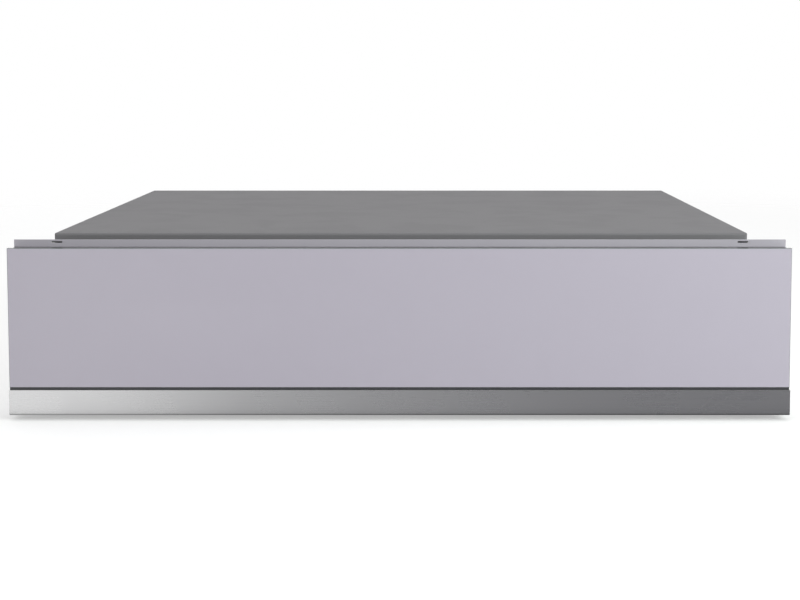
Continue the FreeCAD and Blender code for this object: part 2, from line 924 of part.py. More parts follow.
def hinge_brackets():
    """Deck brackets whose two ears carry each hinge pin."""
    brackets = []
    inner = hinge_barrel_length / 2 + running_gap
    front = rim_rear + hinge_bracket_front_gap
    rear = hinge_depth + hinge_barrel_radius
    for x in (-hinge_spread, hinge_spread):
        foot = block(x - inner - hinge_ear, x + inner + hinge_ear, front, rear, deck_top,
                     deck_top + hinge_foot)
        ears = []
        for side in (-1, 1):
            x0 = x + side * (inner + hinge_ear / 2) - hinge_ear / 2
            ear = block(x0, x0 + hinge_ear, front, rear, deck_top, hinge_height + hinge_barrel_radius)
            ears.append(ear.makeChamfer(hinge_barrel_radius / 2, edges_along(
                ear, "x", z=hinge_height + hinge_barrel_radius)))
        pin_hole = rod(hinge_pin_radius, x - inner - hinge_ear, hinge_depth, hinge_height, X,
                       2 * (inner + hinge_ear))
        brackets.append(join([foot] + ears).cut(pin_hole))
    return brackets


def hinge_pins():
    """Steel pins through the bracket ears."""
    reach = hinge_barrel_length / 2 + running_gap + hinge_ear
    return [rod(hinge_pin_radius, x - reach, hinge_depth, hinge_height, X, 2 * reach)
            for x in (-hinge_spread, hinge_spread)]


# Pump bay

def pump_motor():
    """Ribbed motor barrel with the bore of its shaft."""
    barrel = rod(motor_radius - motor_rib_height, motor_left, pump_depth, pump_axis_height, X,
                 motor_length)
    ribs = []
    for step in range(motor_ribs):
        x = motor_left + (step + 0.5) * motor_length / motor_ribs - motor_rib_width / 2
        ribs.append(rod(motor_radius, x, pump_depth, pump_axis_height, X, motor_rib_width))
    bore = rod(shaft_radius + shaft_gap, motor_left, pump_depth, pump_axis_height, X, motor_length)
    return join([barrel] + ribs).cut(bore)


def crankcase(x):
    """Crankcase at one end of the motor, open for the shaft."""
    half = crankcase_size / 2
    case = block(x, x + crankcase_width, pump_depth - half, pump_depth + half, crankcase_low,
                 pump_axis_height + half)
    case = case.makeChamfer(crankcase_corner, edges_along(case, "x"))
    bore = rod(shaft_radius + shaft_gap, x, pump_depth, pump_axis_height, X, crankcase_width)
    return case.cut(bore)


def pump_head(x):
    """Finned cylinder head in front of a crankcase."""
    half_width = crankcase_width / 2
    low = pump_axis_height - head_size / 2
    head = block(x - half_width, x + half_width, head_front, crankcase_front, low, low + head_size)
    pitch = head_size / (head_fins + 1)
    gaps = []
    for step in range(head_fins):
        z = low + (step + 1) * pitch - head_fin_gap / 2
        for side in (-1, 1):
            x0 = x + side * half_width - head_fin_depth / 4
            gaps.append(block(x0, x0 + head_fin_depth / 2, head_front, crankcase_front - 4 * sheet,
                              z, z + head_fin_gap))
    return head.cut(gaps)


def pump_mounts():
    """Rubber mounts between the crankcases and the tray floor."""
    mounts = []
    reach = crankcase_size / 2 - crankcase_corner - mount_half
    for x in (head_center_left, head_center_right):
        for y in (pump_depth - reach, pump_depth + reach):
            mounts.append(block(x - mount_half, x + mount_half, y - mount_half, y + mount_half,
                                tray_floor, crankcase_low))
    return mounts


fan_left = motor_left - crankcase_width - shroud_length


def fan_rotor():
    """Axial fan with angled blades, on the shaft that runs on to the far crankcase."""
    middle = fan_left + shroud_length / 2
    axis_point = Vector(middle, pump_depth, pump_axis_height)
    hub = rod(fan_hub_radius, middle - fan_width / 2, pump_depth, pump_axis_height, X, fan_width)
    blade_tip = math.sqrt(fan_radius ** 2 - (fan_blade_chord / 2) ** 2)
    blades = []
    for step in range(fan_blades):
        blade = block(middle - fan_blade_chord / 2, middle + fan_blade_chord / 2,
                      pump_depth - fan_blade_thickness / 2, pump_depth + fan_blade_thickness / 2,
                      pump_axis_height + fan_hub_radius - fan_blade_thickness,
                      pump_axis_height + blade_tip)
        blade.rotate(axis_point, Z, fan_blade_angle)
        blade.rotate(axis_point, X, 360 * step / fan_blades)
        blades.append(blade)
    start = fan_left + shroud_spoke_thickness + running_gap
    shaft = rod(shaft_radius, start, pump_depth, pump_axis_height, X,
                motor_right + crankcase_width - running_gap - start)
    return join([hub, shaft] + blades)


def fan_shroud():
    """Ring round the fan with a spoked guard, fixed to the crankcase."""
    inner = fan_radius + fan_tip_gap
    outer = inner + shroud_wall
    wall = tube(outer, inner, fan_left, pump_depth, pump_axis_height, X, shroud_length)
    hub = rod(fan_hub_radius, fan_left, pump_depth, pump_axis_height, X, shroud_spoke_thickness)
    spokes = []
    for step in range(shroud_spokes):
        spoke = block(fan_left, fan_left + shroud_spoke_thickness, pump_depth - shroud_spoke_width / 2,
                      pump_depth + shroud_spoke_width / 2, pump_axis_height + fan_hub_radius / 2,
                      pump_axis_height + (inner + outer) / 2)
        spoke.rotate(Vector(fan_left, pump_depth, pump_axis_height), X, 360 * step / shroud_spokes)
        spokes.append(spoke)
    return join([wall, hub] + spokes)


def valve_block():
    """Manifold behind the chamber, standing on the tray floor."""
    body = block(valve_left, valve_left + valve_length, valve_front, valve_front + valve_depth,
                 tray_floor, valve_top)
    channel_in = rod(port_bore, port_offset, valve_front, port_height, Y, valve_depth / 2)
    channel_out = rod(port_bore, valve_left, valve_front + valve_depth / 2, port_height, X,
                      valve_length / 2)
    return body.cut([channel_in, channel_out])


def solenoid_coils():
    """Two solenoid coils on the manifold."""
    coils = []
    y = valve_front + valve_depth / 2
    half = coil_size / 2
    for x in (port_offset - valve_length / 4, port_offset + valve_length / 4):
        yoke = block(x - half, x + half, y - half, y + half, valve_top, valve_top + coil_height)
        core = rod(coil_core_radius, x, y, valve_top + coil_height, Z, coil_core_height)
        coils.append(join([yoke, core]))
    return coils


def chamber_hose():
    """Short straight hose from the suction port to the manifold."""
    start = chamber_rear + chamber_wall + port_length
    return rod(hose_radius, port_offset, start, port_height, Y, valve_front - start)


def pump_hose():
    """Hose from the manifold to the right pump head: two straight runs and one wide bend."""
    start = Vector(valve_left, valve_front + valve_depth / 2, port_height)
    corner = Vector(head_center_right, start.y, port_height)
    bend_in = corner + X * hose_bend_radius
    bend_out = corner + Y * hose_bend_radius
    middle = corner + (X + Y) * hose_bend_radius * (1 - math.sqrt(0.5))
    end = Vector(head_center_right, head_front, port_height)
    path = Part.Wire([
        Part.LineSegment(start, bend_in).toShape(),
        Part.Arc(bend_in, middle, bend_out).toShape(),
        Part.LineSegment(bend_out, end).toShape(),
    ])
    print("pump hose bend radius", hose_bend_radius)
    section = Part.Wire(Part.Circle(start, -X, hose_radius).toShape())
    return path.makePipeShell([section], True, True)


def transformer():
    """Toroidal transformer standing on its pad."""
    y = bay_rear - transformer_setback
    low = tray_floor + transformer_pad
    body = tube(transformer_radius, transformer_bore, transformer_center, y, low, Z, transformer_height)
    rims = [edge for edge in body.Edges
            if edge.BoundBox.ZLength < touch and edge.BoundBox.XLength > 2 * transformer_bore + touch]
    body = body.makeChamfer(transformer_bevel, rims)
    pad = tube(transformer_radius - transformer_bevel, transformer_bore, transformer_center, y,
               tray_floor, Z, transformer_pad)
    return body, pad


def transformer_clamp():
    """Dished washer and bolt that hold the transformer down."""
    y = bay_rear - transformer_setback
    top = tray_floor + transformer_pad + transformer_height
    washer = rod(clamp_radius, transformer_center, y, top, Z, clamp_thickness)
    dish = Part.makeCone(transformer_bore - 2 * fit_gap, transformer_bore - clamp_dish, clamp_dish,
                         Vector(transformer_center, y, top), -Z)
    bolt = rod(bolt_radius, transformer_center, y, tray_floor, Z,
               top + clamp_thickness + nut_height - tray_floor)
    nut = Part.Face(Part.makePolygon([
        Vector(transformer_center + 2 * bolt_radius * math.cos(k * 2 * math.pi / nut_sides),
               y + 2 * bolt_radius * math.sin(k * 2 * math.pi / nut_sides), top + clamp_thickness)
        for k in range(nut_sides + 1)])).extrude(Z * nut_height)
    return join([washer, dish, bolt, nut])


board_front = bay_rear - power_board_setback - power_board_depth
board_low = tray_floor + power_board_height
board_top = board_low + board_thickness


def power_board():
    """Circuit board with its four standoffs."""
    board = block(board_left, board_left + power_board_width, board_front,
                  board_front + power_board_depth, board_low, board_top)
    posts = []
    for x in (board_left + standoff_inset, board_left + power_board_width - standoff_inset):
        for y in (board_front + standoff_inset, board_front + power_board_depth - standoff_inset):
            posts.append(block(x - standoff_half, x + standoff_half, y - standoff_half,
                               y + standoff_half, tray_floor, board_low))
    return join([board] + posts)


def board_parts():
    """Relays, capacitors and a finned heat sink on the board."""
    parts = []
    front = board_front + standoff_inset + 2 * standoff_half
    for step in range(relay_count):
        x = board_left + standoff_inset + step * relay_pitch
        parts.append(block(x, x + relay_size, front, front + relay_pitch, board_top,
                           board_top + relay_height))
    y = front + 2 * relay_pitch
    for x in (board_left + 2 * capacitor_radius, board_left + 2 * capacitor_radius + relay_pitch):
        parts.append(rod(capacitor_radius, x, y, board_top, Z, capacitor_height))
    sink_front = board_front + power_board_depth - standoff_inset - 2 * standoff_half
    sink_front -= heatsink_base + heatsink_height
    sink_left = power_board_center - heatsink_length / 2
    base = block(sink_left, sink_left + heatsink_length, sink_front, sink_front + heatsink_height,
                 board_top, board_top + heatsink_base)
    fins = []
    for step in range(heatsink_fins):
        x = sink_left + step * (heatsink_length - heatsink_fin) / (heatsink_fins - 1)
        fins.append(block(x, x + heatsink_fin, sink_front, sink_front + heatsink_height,
                          board_top, board_top + heatsink_height))
    parts.append(join([base] + fins))
    return parts


def build():
    """Write every node."""
    os.makedirs("parts", exist_ok=True)
    write("housing_base", housing_base())
    write("base_pads", *base_pads())
    write("housing_side_right", side_wall())
    write("housing_side_left", mirrored(side_wall()))
    write("housing_back", housing_back())
    write("mains_gland", mains_gland())
    write("top_cover", top_cover())
    write("front_bumpers", *front_bumpers())
    sided = {
        "outer_rail": outer_rail(), "middle_rail": middle_rail(), "inner_rail": inner_rail(),
        "outer_ball_cage": outer_cage(), "inner_ball_cage": inner_cage(),
        "latch_plunger": latch_plunger(),
    }
    for name in sided:
        write(name + "_right", sided[name])
        write(name + "_left", mirrored(sided[name]))
    write("latch_bodies", latch_body(), mirrored(latch_body()))
    write("front_gussets", front_gusset(), mirrored(front_gusset()))
    write("front_glass", front_glass())
    write("front_strip", front_strip())
    write("seam_gasket", seam_gasket())
    write("front_carrier", front_carrier())
    write("front_back_plate", front_back_plate())
    write("drawer_tray", drawer_tray())
    write("deck_plate", deck_plate())
    write("bay_cover", bay_cover())
    write("control_glass", control_glass())
    write("control_board", control_board(), *touch_sensors())
    write("chamber_tub", chamber_tub())
    write("chamber_rim", chamber_rim())
    write("chamber_seal", chamber_seal())
    write("chamber_posts", *chamber_posts())
    write("suction_port", suction_port())
    write("lift_cylinders", *lift_cylinders())
    write("sealing_bar", sealing_bar())
    write("heating_band", heating_band())
    write("lid_glass", lid_glass())
    write("counter_bar", counter_bar())
    write("lid_grip", lid_grip())
    write("lid_hinge_arms", *lid_hinge_arms())
    write("hinge_brackets", *hinge_brackets())
    write("hinge_pins", *hinge_pins())
    write("pump_motor", pump_motor())
    write("pump_crankcases", crankcase(motor_left - crankcase_width), crankcase(motor_right))
    write("pump_heads", pump_head(head_center_left), pump_head(head_center_right))
    write("pump_mounts", *pump_mounts())
    write("fan_rotor", fan_rotor())
    write("fan_shroud", fan_shroud())
    write("valve_block", valve_block())
    write("solenoid_coils", *solenoid_coils())
    write("hoses", chamber_hose(), pump_hose())
    write("transformer", *transformer())
    write("transformer_clamp", transformer_clamp())
    write("power_board", power_board())
    write("board_parts", *board_parts())


build()
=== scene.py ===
# %% [markdown]
# # A built-in vacuum sealing drawer
#
# The drawer sits in a kitchen niche: a long glass front over a narrow brushed strip, a plain grey
# cover sheet above the works, and behind the front a tray with a deep steel chamber, a glass lid and
# the pump bay. Its shape is settled already, as solids in real sizes. This lesson gives every solid
# the finish of its real material and adds the small pieces that a workshop adds last: screws, slide
# balls, printed marks and tape.
#
# The solids could be traced again here with polygons, but then two models would have to agree. The
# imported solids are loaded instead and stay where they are, so a piece made here is placed by the box
# of the solid that carries it.

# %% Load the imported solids
import math

import bmesh
import bpy
from mathutils import Matrix, Vector


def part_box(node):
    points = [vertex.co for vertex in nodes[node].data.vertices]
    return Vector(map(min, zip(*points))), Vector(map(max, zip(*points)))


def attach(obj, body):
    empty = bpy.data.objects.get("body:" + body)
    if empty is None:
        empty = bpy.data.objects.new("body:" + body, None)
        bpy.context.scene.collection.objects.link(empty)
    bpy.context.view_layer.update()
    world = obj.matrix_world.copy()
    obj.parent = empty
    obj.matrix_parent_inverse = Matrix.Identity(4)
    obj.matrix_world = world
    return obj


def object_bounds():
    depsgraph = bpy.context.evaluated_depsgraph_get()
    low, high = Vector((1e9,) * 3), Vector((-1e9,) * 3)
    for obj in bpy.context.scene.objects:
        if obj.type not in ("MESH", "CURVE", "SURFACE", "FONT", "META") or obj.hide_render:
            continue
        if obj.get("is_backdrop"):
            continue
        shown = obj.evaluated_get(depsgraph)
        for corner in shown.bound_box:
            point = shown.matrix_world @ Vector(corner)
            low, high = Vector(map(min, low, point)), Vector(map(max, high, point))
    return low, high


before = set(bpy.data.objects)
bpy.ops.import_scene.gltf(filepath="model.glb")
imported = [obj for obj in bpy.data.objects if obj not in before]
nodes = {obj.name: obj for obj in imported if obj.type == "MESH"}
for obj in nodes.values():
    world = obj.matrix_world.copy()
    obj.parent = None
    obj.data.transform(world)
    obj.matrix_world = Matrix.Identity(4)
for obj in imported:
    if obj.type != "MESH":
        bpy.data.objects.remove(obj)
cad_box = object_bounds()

mm = 0.001
print(len(nodes), "solids,", "box in mm", [round(v / mm, 1) for corner in cad_box for v in corner])

# %% [markdown]
# ## The camera
#
# The photograph was taken from a tripod in front of the drawer, a little above it and a little to the
# right of its middle, which is why the back of the cover lies to the right of its front. Its upright
# edges are kept upright, as product photographers do. A camera that only looks down makes uprights
# lean together, and one that only shifts its lens throws the object off the middle of every other
# view. Half of each keeps both faults small: the camera tilts down by a few degrees and the lens
# shift does the rest.

# %% Place the camera
camera_data = bpy.data.cameras.new("camera")
camera_data.lens = 72.834
camera_data.sensor_width = 36.0
camera_data.shift_x = -0.0331
camera_data.shift_y = -0.1165
camera_data.clip_start = 0.01
camera_data.clip_end = 50.0
camera = bpy.data.objects.new("camera", camera_data)
camera.location = (0.0205, -1.4919, 0.2639)
tilt = math.radians(4.7)
camera.rotation_euler = (math.radians(90) - tilt, 0.0, 0.0)
bpy.context.scene.collection.objects.link(camera)
bpy.context.scene.camera = camera
bpy.context.scene.view_settings.view_transform = "Standard"
print("camera", tuple(round(v, 3) for v in camera.location), "lens", camera_data.lens)

# %% [markdown]
# ## Wiring helpers
#
# A finish is a small network of nodes. Writing each link by hand hides the idea behind the wiring,
# so one helper adds a node and joins its inputs in the same call: a socket is linked, anything else
# is set as the value. Other helpers do one step of arithmetic, split a vector, tell a point's place
# on its solid, and make a node group with named sockets.

# %% Helpers that add nodes and groups
def feed(tree, slot, value):
    """Link a socket to an input, or set anything else as its value."""
    if isinstance(value, bpy.types.NodeSocket):
        tree.links.new(value, slot)
    else:
        slot.default_value = value


def node(tree, kind, settings=None, outlet=0, **inputs):
    """Add a shader node, feed its inputs by name or _number, and give back one of its outputs."""
    made = tree.nodes.new("ShaderNode" + kind)
    for key, value in (settings or {}).items():
        setattr(made, key, value)
    for label, value in inputs.items():
        socket = int(label[1:]) if label[0] == "_" else label.replace("_", " ")
        feed(tree, made.inputs[socket], value)
    return made.outputs[outlet]


def math_node(tree, operation, first, second=0.0):
    """One arithmetic step on two values or sockets."""
    return node(tree, "Math", {"operation": operation}, _0=first, _1=second)


def split(tree, vector):
    """X, Y and Z of a vector, by name."""
    made = tree.nodes.new("ShaderNodeSeparateXYZ")
    tree.links.new(vector, made.inputs["Vector"])
    return made.outputs


def object_place(tree):
    """Where a point lies on its solid, in metres."""
    return node(tree, "TexCoord", outlet="Object")


def new_group(name, inputs, outputs):
    """Node group with named sockets. Inputs map a name to its starting value."""
    tree = bpy.data.node_groups.new(name, "ShaderNodeTree")
    for label, start in inputs.items():
        kind = "NodeSocketVector" if isinstance(start, tuple) else "NodeSocketFloat"
        socket = tree.interface.new_socket(name=label, in_out="INPUT", socket_type=kind)
        socket.default_value = start
    for label in outputs:
        kind = "NodeSocketVector" if label == "Normal" else "NodeSocketFloat"
        tree.interface.new_socket(name=label, in_out="OUTPUT", socket_type=kind)
    ends = tree.nodes.new("NodeGroupInput"), tree.nodes.new("NodeGroupOutput")
    return tree, ends[0].outputs, ends[1].inputs


def place_group(tree, group, **inputs):
    """Put a group into a material and give back its outputs."""
    made = tree.nodes.new("ShaderNodeGroup")
    made.node_tree = group
    for label, value in inputs.items():
        feed(tree, made.inputs[label], value)
    return made.outputs


# %% [markdown]
# ## Floor and background
#
# The photograph is cut out on white. A white floor under strong lamps would burn out the object as
# well, so the white is made another way: the world shows as plain white to the camera and to
# reflections, and lights the object at a lower level. The floor is pale and shows a little extra
# light of its own to the camera, which hides its edge but keeps the soft shadow under the drawer.

# %% Make the world and the floor
def seen_directly(tree):
    """1 for rays from the camera, from gloss and through glass, which all show the background."""
    path = tree.nodes.new("ShaderNodeLightPath").outputs
    either = math_node(tree, "MAXIMUM", path["Is Camera Ray"], path["Is Glossy Ray"])
    return math_node(tree, "MAXIMUM", either, path["Is Transmission Ray"])


world_light = 0.50
world = bpy.data.worlds.new("white_room")
world.use_nodes = True
tree = world.node_tree
level = node(tree, "MapRange", Value=seen_directly(tree), To_Min=world_light, To_Max=1.0)
tree.links.new(level, tree.nodes["Background"].inputs["Strength"])
tree.nodes["Background"].inputs["Color"].default_value = (1.0, 1.0, 1.0, 1.0)
bpy.context.scene.world = world

floor_reach = 3.0
floor_clear = 0.9
floor_gone = floor_reach * 0.8
floor_white = (0.80, 0.80, 0.80, 1.0)
floor_glow = 0.42
mesh = bpy.data.meshes.new("floor")
corners = [(x * floor_reach, y * floor_reach, 0) for x, y in ((-1, -1), (1, -1), (1, 1), (-1, 1))]
mesh.from_pydata(corners, [], [(0, 1, 2, 3)])
floor = bpy.data.objects.new("floor", mesh)
bpy.context.scene.collection.objects.link(floor)
floor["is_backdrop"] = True

floor_material = bpy.data.materials.new("pale_floor")
floor_material.use_nodes = True
tree = floor_material.node_tree
tree.nodes.clear()
place = object_place(tree)
far = node(tree, "VectorMath", {"operation": "LENGTH"}, outlet="Value", _0=place)
fade = node(tree, "MapRange", {"interpolation_type": "SMOOTHSTEP"},
            Value=far, From_Min=floor_clear, From_Max=floor_gone)
paint = node(tree, "BsdfDiffuse", Color=floor_white)
glow = node(tree, "Emission", Strength=math_node(tree, "MULTIPLY", seen_directly(tree), floor_glow))
lit = node(tree, "AddShader", _0=paint, _1=glow)
clear = node(tree, "BsdfTransparent")
mixed = node(tree, "MixShader", _0=fade, _1=lit, _2=clear)
tree.links.new(mixed, tree.nodes.new("ShaderNodeOutputMaterial").inputs["Surface"])
mesh.materials.append(floor_material)
print("floor reaches", floor_reach, "m and fades from", floor_clear, "m")

# %% [markdown]
# ## Soft lamps
#
# The glass front grows lighter and a little cooler from left to right, so the main lamp of the
# photograph stood close by on the right, and the plain grey of the cover says that a large soft lamp
# hung above it. Two wide area lamps do that. A weak third one from behind on the left keeps the far
# side from going flat. A lamp in bare steel is a burnt-out spot, so the lamps stay out of
# reflections, and metal shows the white room and the cards of the next step instead.

# %% Hang the lamps
def soft_lamp(name, place, aim, width, height, power, colour=(1.0, 1.0, 1.0)):
    """Rectangular lamp at a place, turned towards an aim."""
    data = bpy.data.lights.new(name, "AREA")
    data.shape = "RECTANGLE"
    data.size = width
    data.size_y = height
    data.energy = power
    data.color = colour
    lamp = bpy.data.objects.new(name, data)
    lamp.location = place
    lamp.rotation_euler = (Vector(aim) - Vector(place)).to_track_quat("-Z", "Y").to_euler()
    lamp.visible_camera = False
    lamp.visible_glossy = False
    bpy.context.scene.collection.objects.link(lamp)


middle = (cad_box[0] + cad_box[1]) / 2
soft_lamp("key_lamp", (1.10, -1.20, 0.60), middle, 1.0, 0.9, 13.0, (0.93, 1.0, 0.96))
soft_lamp("top_lamp", (0.2, 0.1, 2.4), middle, 2.4, 2.4, 11.0)
soft_lamp("back_lamp", (-1.6, 2.0, 1.4), middle, 2.4, 1.8, 6.0)

# %% [markdown]
# ## Cards for the brushed metal
#
# Metal has no colour of its own to show, it shows the room. In the photograph the strip under the
# glass is bright at its left end and dark at its right end, which is a pale board on the left and a
# dark one on the right, as studios place them for metal. One upright board and one on the floor
# carry that change, each fading from pale to dark. The one on the floor also darkens close to the
# drawer, where a real floor lies in its shadow, so the bend at the strip's lower edge reads as a
# darker line. They show only in reflections, and cast no shadow.

# %% Stand the cards in front of the drawer
def fading_card(name, corners, fade_from, fade_to):
    """Flat card whose glow falls off from left to right, seen only by glossy surfaces."""
    mesh = bpy.data.meshes.new(name)
    mesh.from_pydata(corners, [], [(0, 1, 2, 3)])
    card = bpy.data.objects.new(name, mesh)
    bpy.context.scene.collection.objects.link(card)
    card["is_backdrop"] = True
    for ray in ("camera", "diffuse", "transmission", "volume_scatter", "shadow"):
        setattr(card, "visible_" + ray, False)
    material = bpy.data.materials.new(name)
    material.use_nodes = True
    tree = material.node_tree
    tree.nodes.clear()
    where = split(tree, object_place(tree))
    along = node(tree, "MapRange", Value=where["X"], From_Min=fade_from, From_Max=fade_to)
    near = node(tree, "MapRange", Value=where["Y"], From_Min=front_plane - contact_reach,
                From_Max=front_plane, To_Min=1.0, To_Max=contact_shade)
    ramp = tree.nodes.new("ShaderNodeValToRGB")
    tree.links.new(along, ramp.inputs["Fac"])
    points = ramp.color_ramp.elements
    points[0].position, points[1].position = 0.0, 1.0
    for share, glow in card_glow.items():
        point = points.new(share) if 0.0 < share < 1.0 else points[-1 if share else 0]
        point.color = (glow, glow, glow + card_cool * (1.0 - glow), 1.0)
    light = node(tree, "Emission", Color=ramp.outputs["Color"], Strength=near)
    tree.links.new(light, tree.nodes.new("ShaderNodeOutputMaterial").inputs["Surface"])
    mesh.materials.append(material)


contact_shade = 0.35
contact_reach = 0.03
card_cool = 0.02
card_glow = {0.0: 1.15, 0.12: 0.93, 0.28: 0.58, 0.45: 0.44, 0.7: 0.31, 1.0: 0.26}
front_plane = cad_box[0].y
card_half = 0.6
card_depth = front_plane - 0.62
card_top = 0.6
card_lift = 0.001
card_start = front_plane + 0.02
fading_card("floor_card", [
    (-card_half, card_start, card_lift), (card_half, card_start, card_lift),
    (card_half, card_depth, card_lift), (-card_half, card_depth, card_lift)],
    fade_from=-0.30, fade_to=0.33)
fading_card("upright_card", [
    (-card_half, card_depth, 0.0), (card_half, card_depth, 0.0),
    (card_half, card_depth, card_top), (-card_half, card_depth, card_top)],
    fade_from=-0.40, fade_to=0.45)
print("cards from", round(front_plane, 3), "to", round(card_depth, 3), "m")

# %% [markdown]
# ## Effects that many finishes share
#
# Real surfaces differ less in colour than in how they were worked: rolled, brushed, cast, moulded or
# painted. Each of those marks is a node group with named inputs, built once. A group gives out only
# masks, values and normals, and each material decides what they change.
#
# **Soft edges.** A folded or moulded edge is never razor sharp, and it catches the light. The Bevel
# node rounds the shading over a given radius. Where the rounded and the true normal differ lies an
# edge, and the same difference is the mask for wear.

# %% Soft edges and edge wear
soft_edges, get, put = new_group("soft_edges", {"Radius": 0.0004, "Wear": 0.5}, ["Normal", "Worn"])
rounded = node(soft_edges, "Bevel", {"samples": 4}, Radius=get["Radius"])
flat = node(soft_edges, "NewGeometry", outlet="Normal")
same = node(soft_edges, "VectorMath", {"operation": "DOT_PRODUCT"}, outlet="Value",
            _0=rounded, _1=flat)
edge = node(soft_edges, "MapRange", Value=same, From_Min=0.99, From_Max=0.80)
place = object_place(soft_edges)
patches = node(soft_edges, "TexNoise", Vector=place, Scale=90.0, Detail=3.0)
chance = node(soft_edges, "MapRange", Value=patches, From_Min=0.35, From_Max=0.62)
rubbed = math_node(soft_edges, "MULTIPLY", edge, chance)
worn = math_node(soft_edges, "MULTIPLY", rubbed, get["Wear"])
soft_edges.links.new(rounded, put["Normal"])
soft_edges.links.new(worn, put["Worn"])
print("soft_edges has", len(soft_edges.nodes), "nodes")

# %% [markdown]
# **Brushed grain.** Abrasive belts leave long fine lines. Noise that is stretched along the belt and
# dense across it gives such lines on every face that runs along the belt. Two sizes of noise keep
# the lines from looking printed. A turned part is the same effect with the dense direction along its
# axis.

# %% Brushed and turned grain
brushed_grain, get, put = new_group("brushed_grain", {"Density": (12.0, 900.0, 900.0)}, ["Streak"])
place = object_place(brushed_grain)
where = node(brushed_grain, "VectorMath", {"operation": "MULTIPLY"}, _0=place, _1=get["Density"])
wide = node(brushed_grain, "TexNoise", Vector=where, Scale=0.35, Detail=2.0, Roughness=0.6)
fine = node(brushed_grain, "TexNoise", Vector=where, Scale=2.2, Detail=4.0, Roughness=0.7)
wide_share = 0.45
streak = math_node(brushed_grain, "ADD", math_node(brushed_grain, "MULTIPLY", wide, wide_share),
                   math_node(brushed_grain, "MULTIPLY", fine, 1.0 - wide_share))
brushed_grain.links.new(streak, put["Streak"])
print("brushed_grain has", len(brushed_grain.nodes), "nodes")

# %% [markdown]
# **Zinc spangle.** Hot-dip galvanised sheet shows flat crystals the size of a fingernail, each with
# its own grey. A Voronoi cell pattern with one random value for each cell is that by its nature. The
# cells of the drawer's thin sheet are small and faint.

# %% Galvanised crystals
zinc_spangle, get, put = new_group("zinc_spangle", {"Cells": 120.0}, ["Crystal", "Frost"])
place = object_place(zinc_spangle)
bent = node(zinc_spangle, "TexNoise", outlet="Color", Vector=place, Scale=160.0, Detail=2.0)
shift = node(zinc_spangle, "VectorMath", {"operation": "SCALE"}, _0=bent, Scale=0.004)
moved = node(zinc_spangle, "VectorMath", {"operation": "ADD"}, _0=place, _1=shift)
cells = node(zinc_spangle, "TexVoronoi", outlet="Color",
             Vector=moved, Scale=get["Cells"], Randomness=1.0)
zinc_spangle.links.new(node(zinc_spangle, "SeparateColor", Color=cells), put["Crystal"])
frost = node(zinc_spangle, "TexNoise", Vector=place, Scale=900.0, Detail=4.0, Roughness=0.7)
zinc_spangle.links.new(frost, put["Frost"])
print("zinc_spangle has", len(zinc_spangle.nodes), "nodes")

# %% [markdown]
# **Moulded grain.** Tools for plastic and rubber are spark-eroded, and the part takes over a fine
# even grain. One dense noise is its height, and a slow one under it is the unevenness of the flow.

# %% Moulded and cast skins
moulded_grain, get, put = new_group("moulded_grain", {"Grain": 2400.0}, ["Height", "Cloud"])
place = object_place(moulded_grain)
pores = node(moulded_grain, "TexNoise",
             Vector=place, Scale=get["Grain"], Detail=2.0, Roughness=0.55)
slow = node(moulded_grain, "TexNoise", Vector=place, Scale=26.0, Detail=3.0, Roughness=0.6)
moulded_grain.links.new(pores, put["Height"])
moulded_grain.links.new(slow, put["Cloud"])
print("moulded_grain has", len(moulded_grain.nodes), "nodes")

# %% [markdown]
# **Handling marks.** A pale film lies on what faces up, and fingers leave soft patches that are a
# little glossier or duller. Both are slow noise. The film is masked by the direction that the face
# looks in.

# %% Dust and finger marks
handling, get, put = new_group("handling", {"Dust": 0.3}, ["Dust", "Smudge"])
place = object_place(handling)
speck = node(handling, "TexNoise", Vector=place, Scale=14.0, Detail=6.0, Roughness=0.7)
up = split(handling, node(handling, "NewGeometry", outlet="Normal"))["Z"]
lies = math_node(handling, "MULTIPLY", math_node(handling, "MAXIMUM", up, 0.0), get["Dust"])
film = node(handling, "MapRange", Value=speck, From_Min=0.35, From_Max=0.75)
handling.links.new(math_node(handling, "MULTIPLY", film, lies), put["Dust"])
touch = node(handling, "TexNoise",
             Vector=place, Scale=22.0, Detail=2.0, Roughness=0.5, Distortion=0.6)
smudge = node(handling, "MapRange", {"interpolation_type": "SMOOTHSTEP"},
              Value=touch, From_Min=0.42, From_Max=0.66)
handling.links.new(smudge, put["Smudge"])
print("handling has", len(handling.nodes), "nodes")

# %% [markdown]
# ## One recipe for each kind of finish
#
# A recipe is a short function that places the groups it needs and joins them to one Principled
# shader. What differs between two solids with the same finish, such as the direction of brushing,
# comes in as a value. Colours are linear values.

# %% Helpers for the recipes
def start_material(name, **sockets):
    """New material with one Principled shader. Values that don't vary go on its own sockets."""
    material = bpy.data.materials.new(name)
    material.use_nodes = True
    tree = material.node_tree
    tree.nodes.clear()
    shader = tree.nodes.new("ShaderNodeBsdfPrincipled")
    tree.links.new(shader.outputs[0], tree.nodes.new("ShaderNodeOutputMaterial").inputs["Surface"])
    for label, value in sockets.items():
        shader.inputs[label.replace("_", " ")].default_value = value
    return material, tree, shader.inputs


def tint(tree, share, low, high):
    """Blend between two colours by a mask."""
    mix = tree.nodes.new("ShaderNodeMix")
    mix.data_type = "RGBA"
    tree.links.new(share, mix.inputs["Factor"])
    for slot, colour in (("A", low), ("B", high)):
        target = next(s for s in mix.inputs if s.name == slot and s.type == "RGBA")
        feed(tree, target, (*colour, 1.0) if isinstance(colour, tuple) else colour)
    return next(s for s in mix.outputs if s.type == "RGBA")


def spread(tree, value, low, high):
    """Stretch a 0 to 1 mask over a range."""
    return node(tree, "MapRange", Value=value, To_Min=low, To_Max=high)


def surface(tree, edge, wear, dust):
    """The two effects that nearly every finish has: soft worn edges, and dust with finger marks."""
    return (place_group(tree, soft_edges, Radius=edge, Wear=wear),
            place_group(tree, handling, Dust=dust))


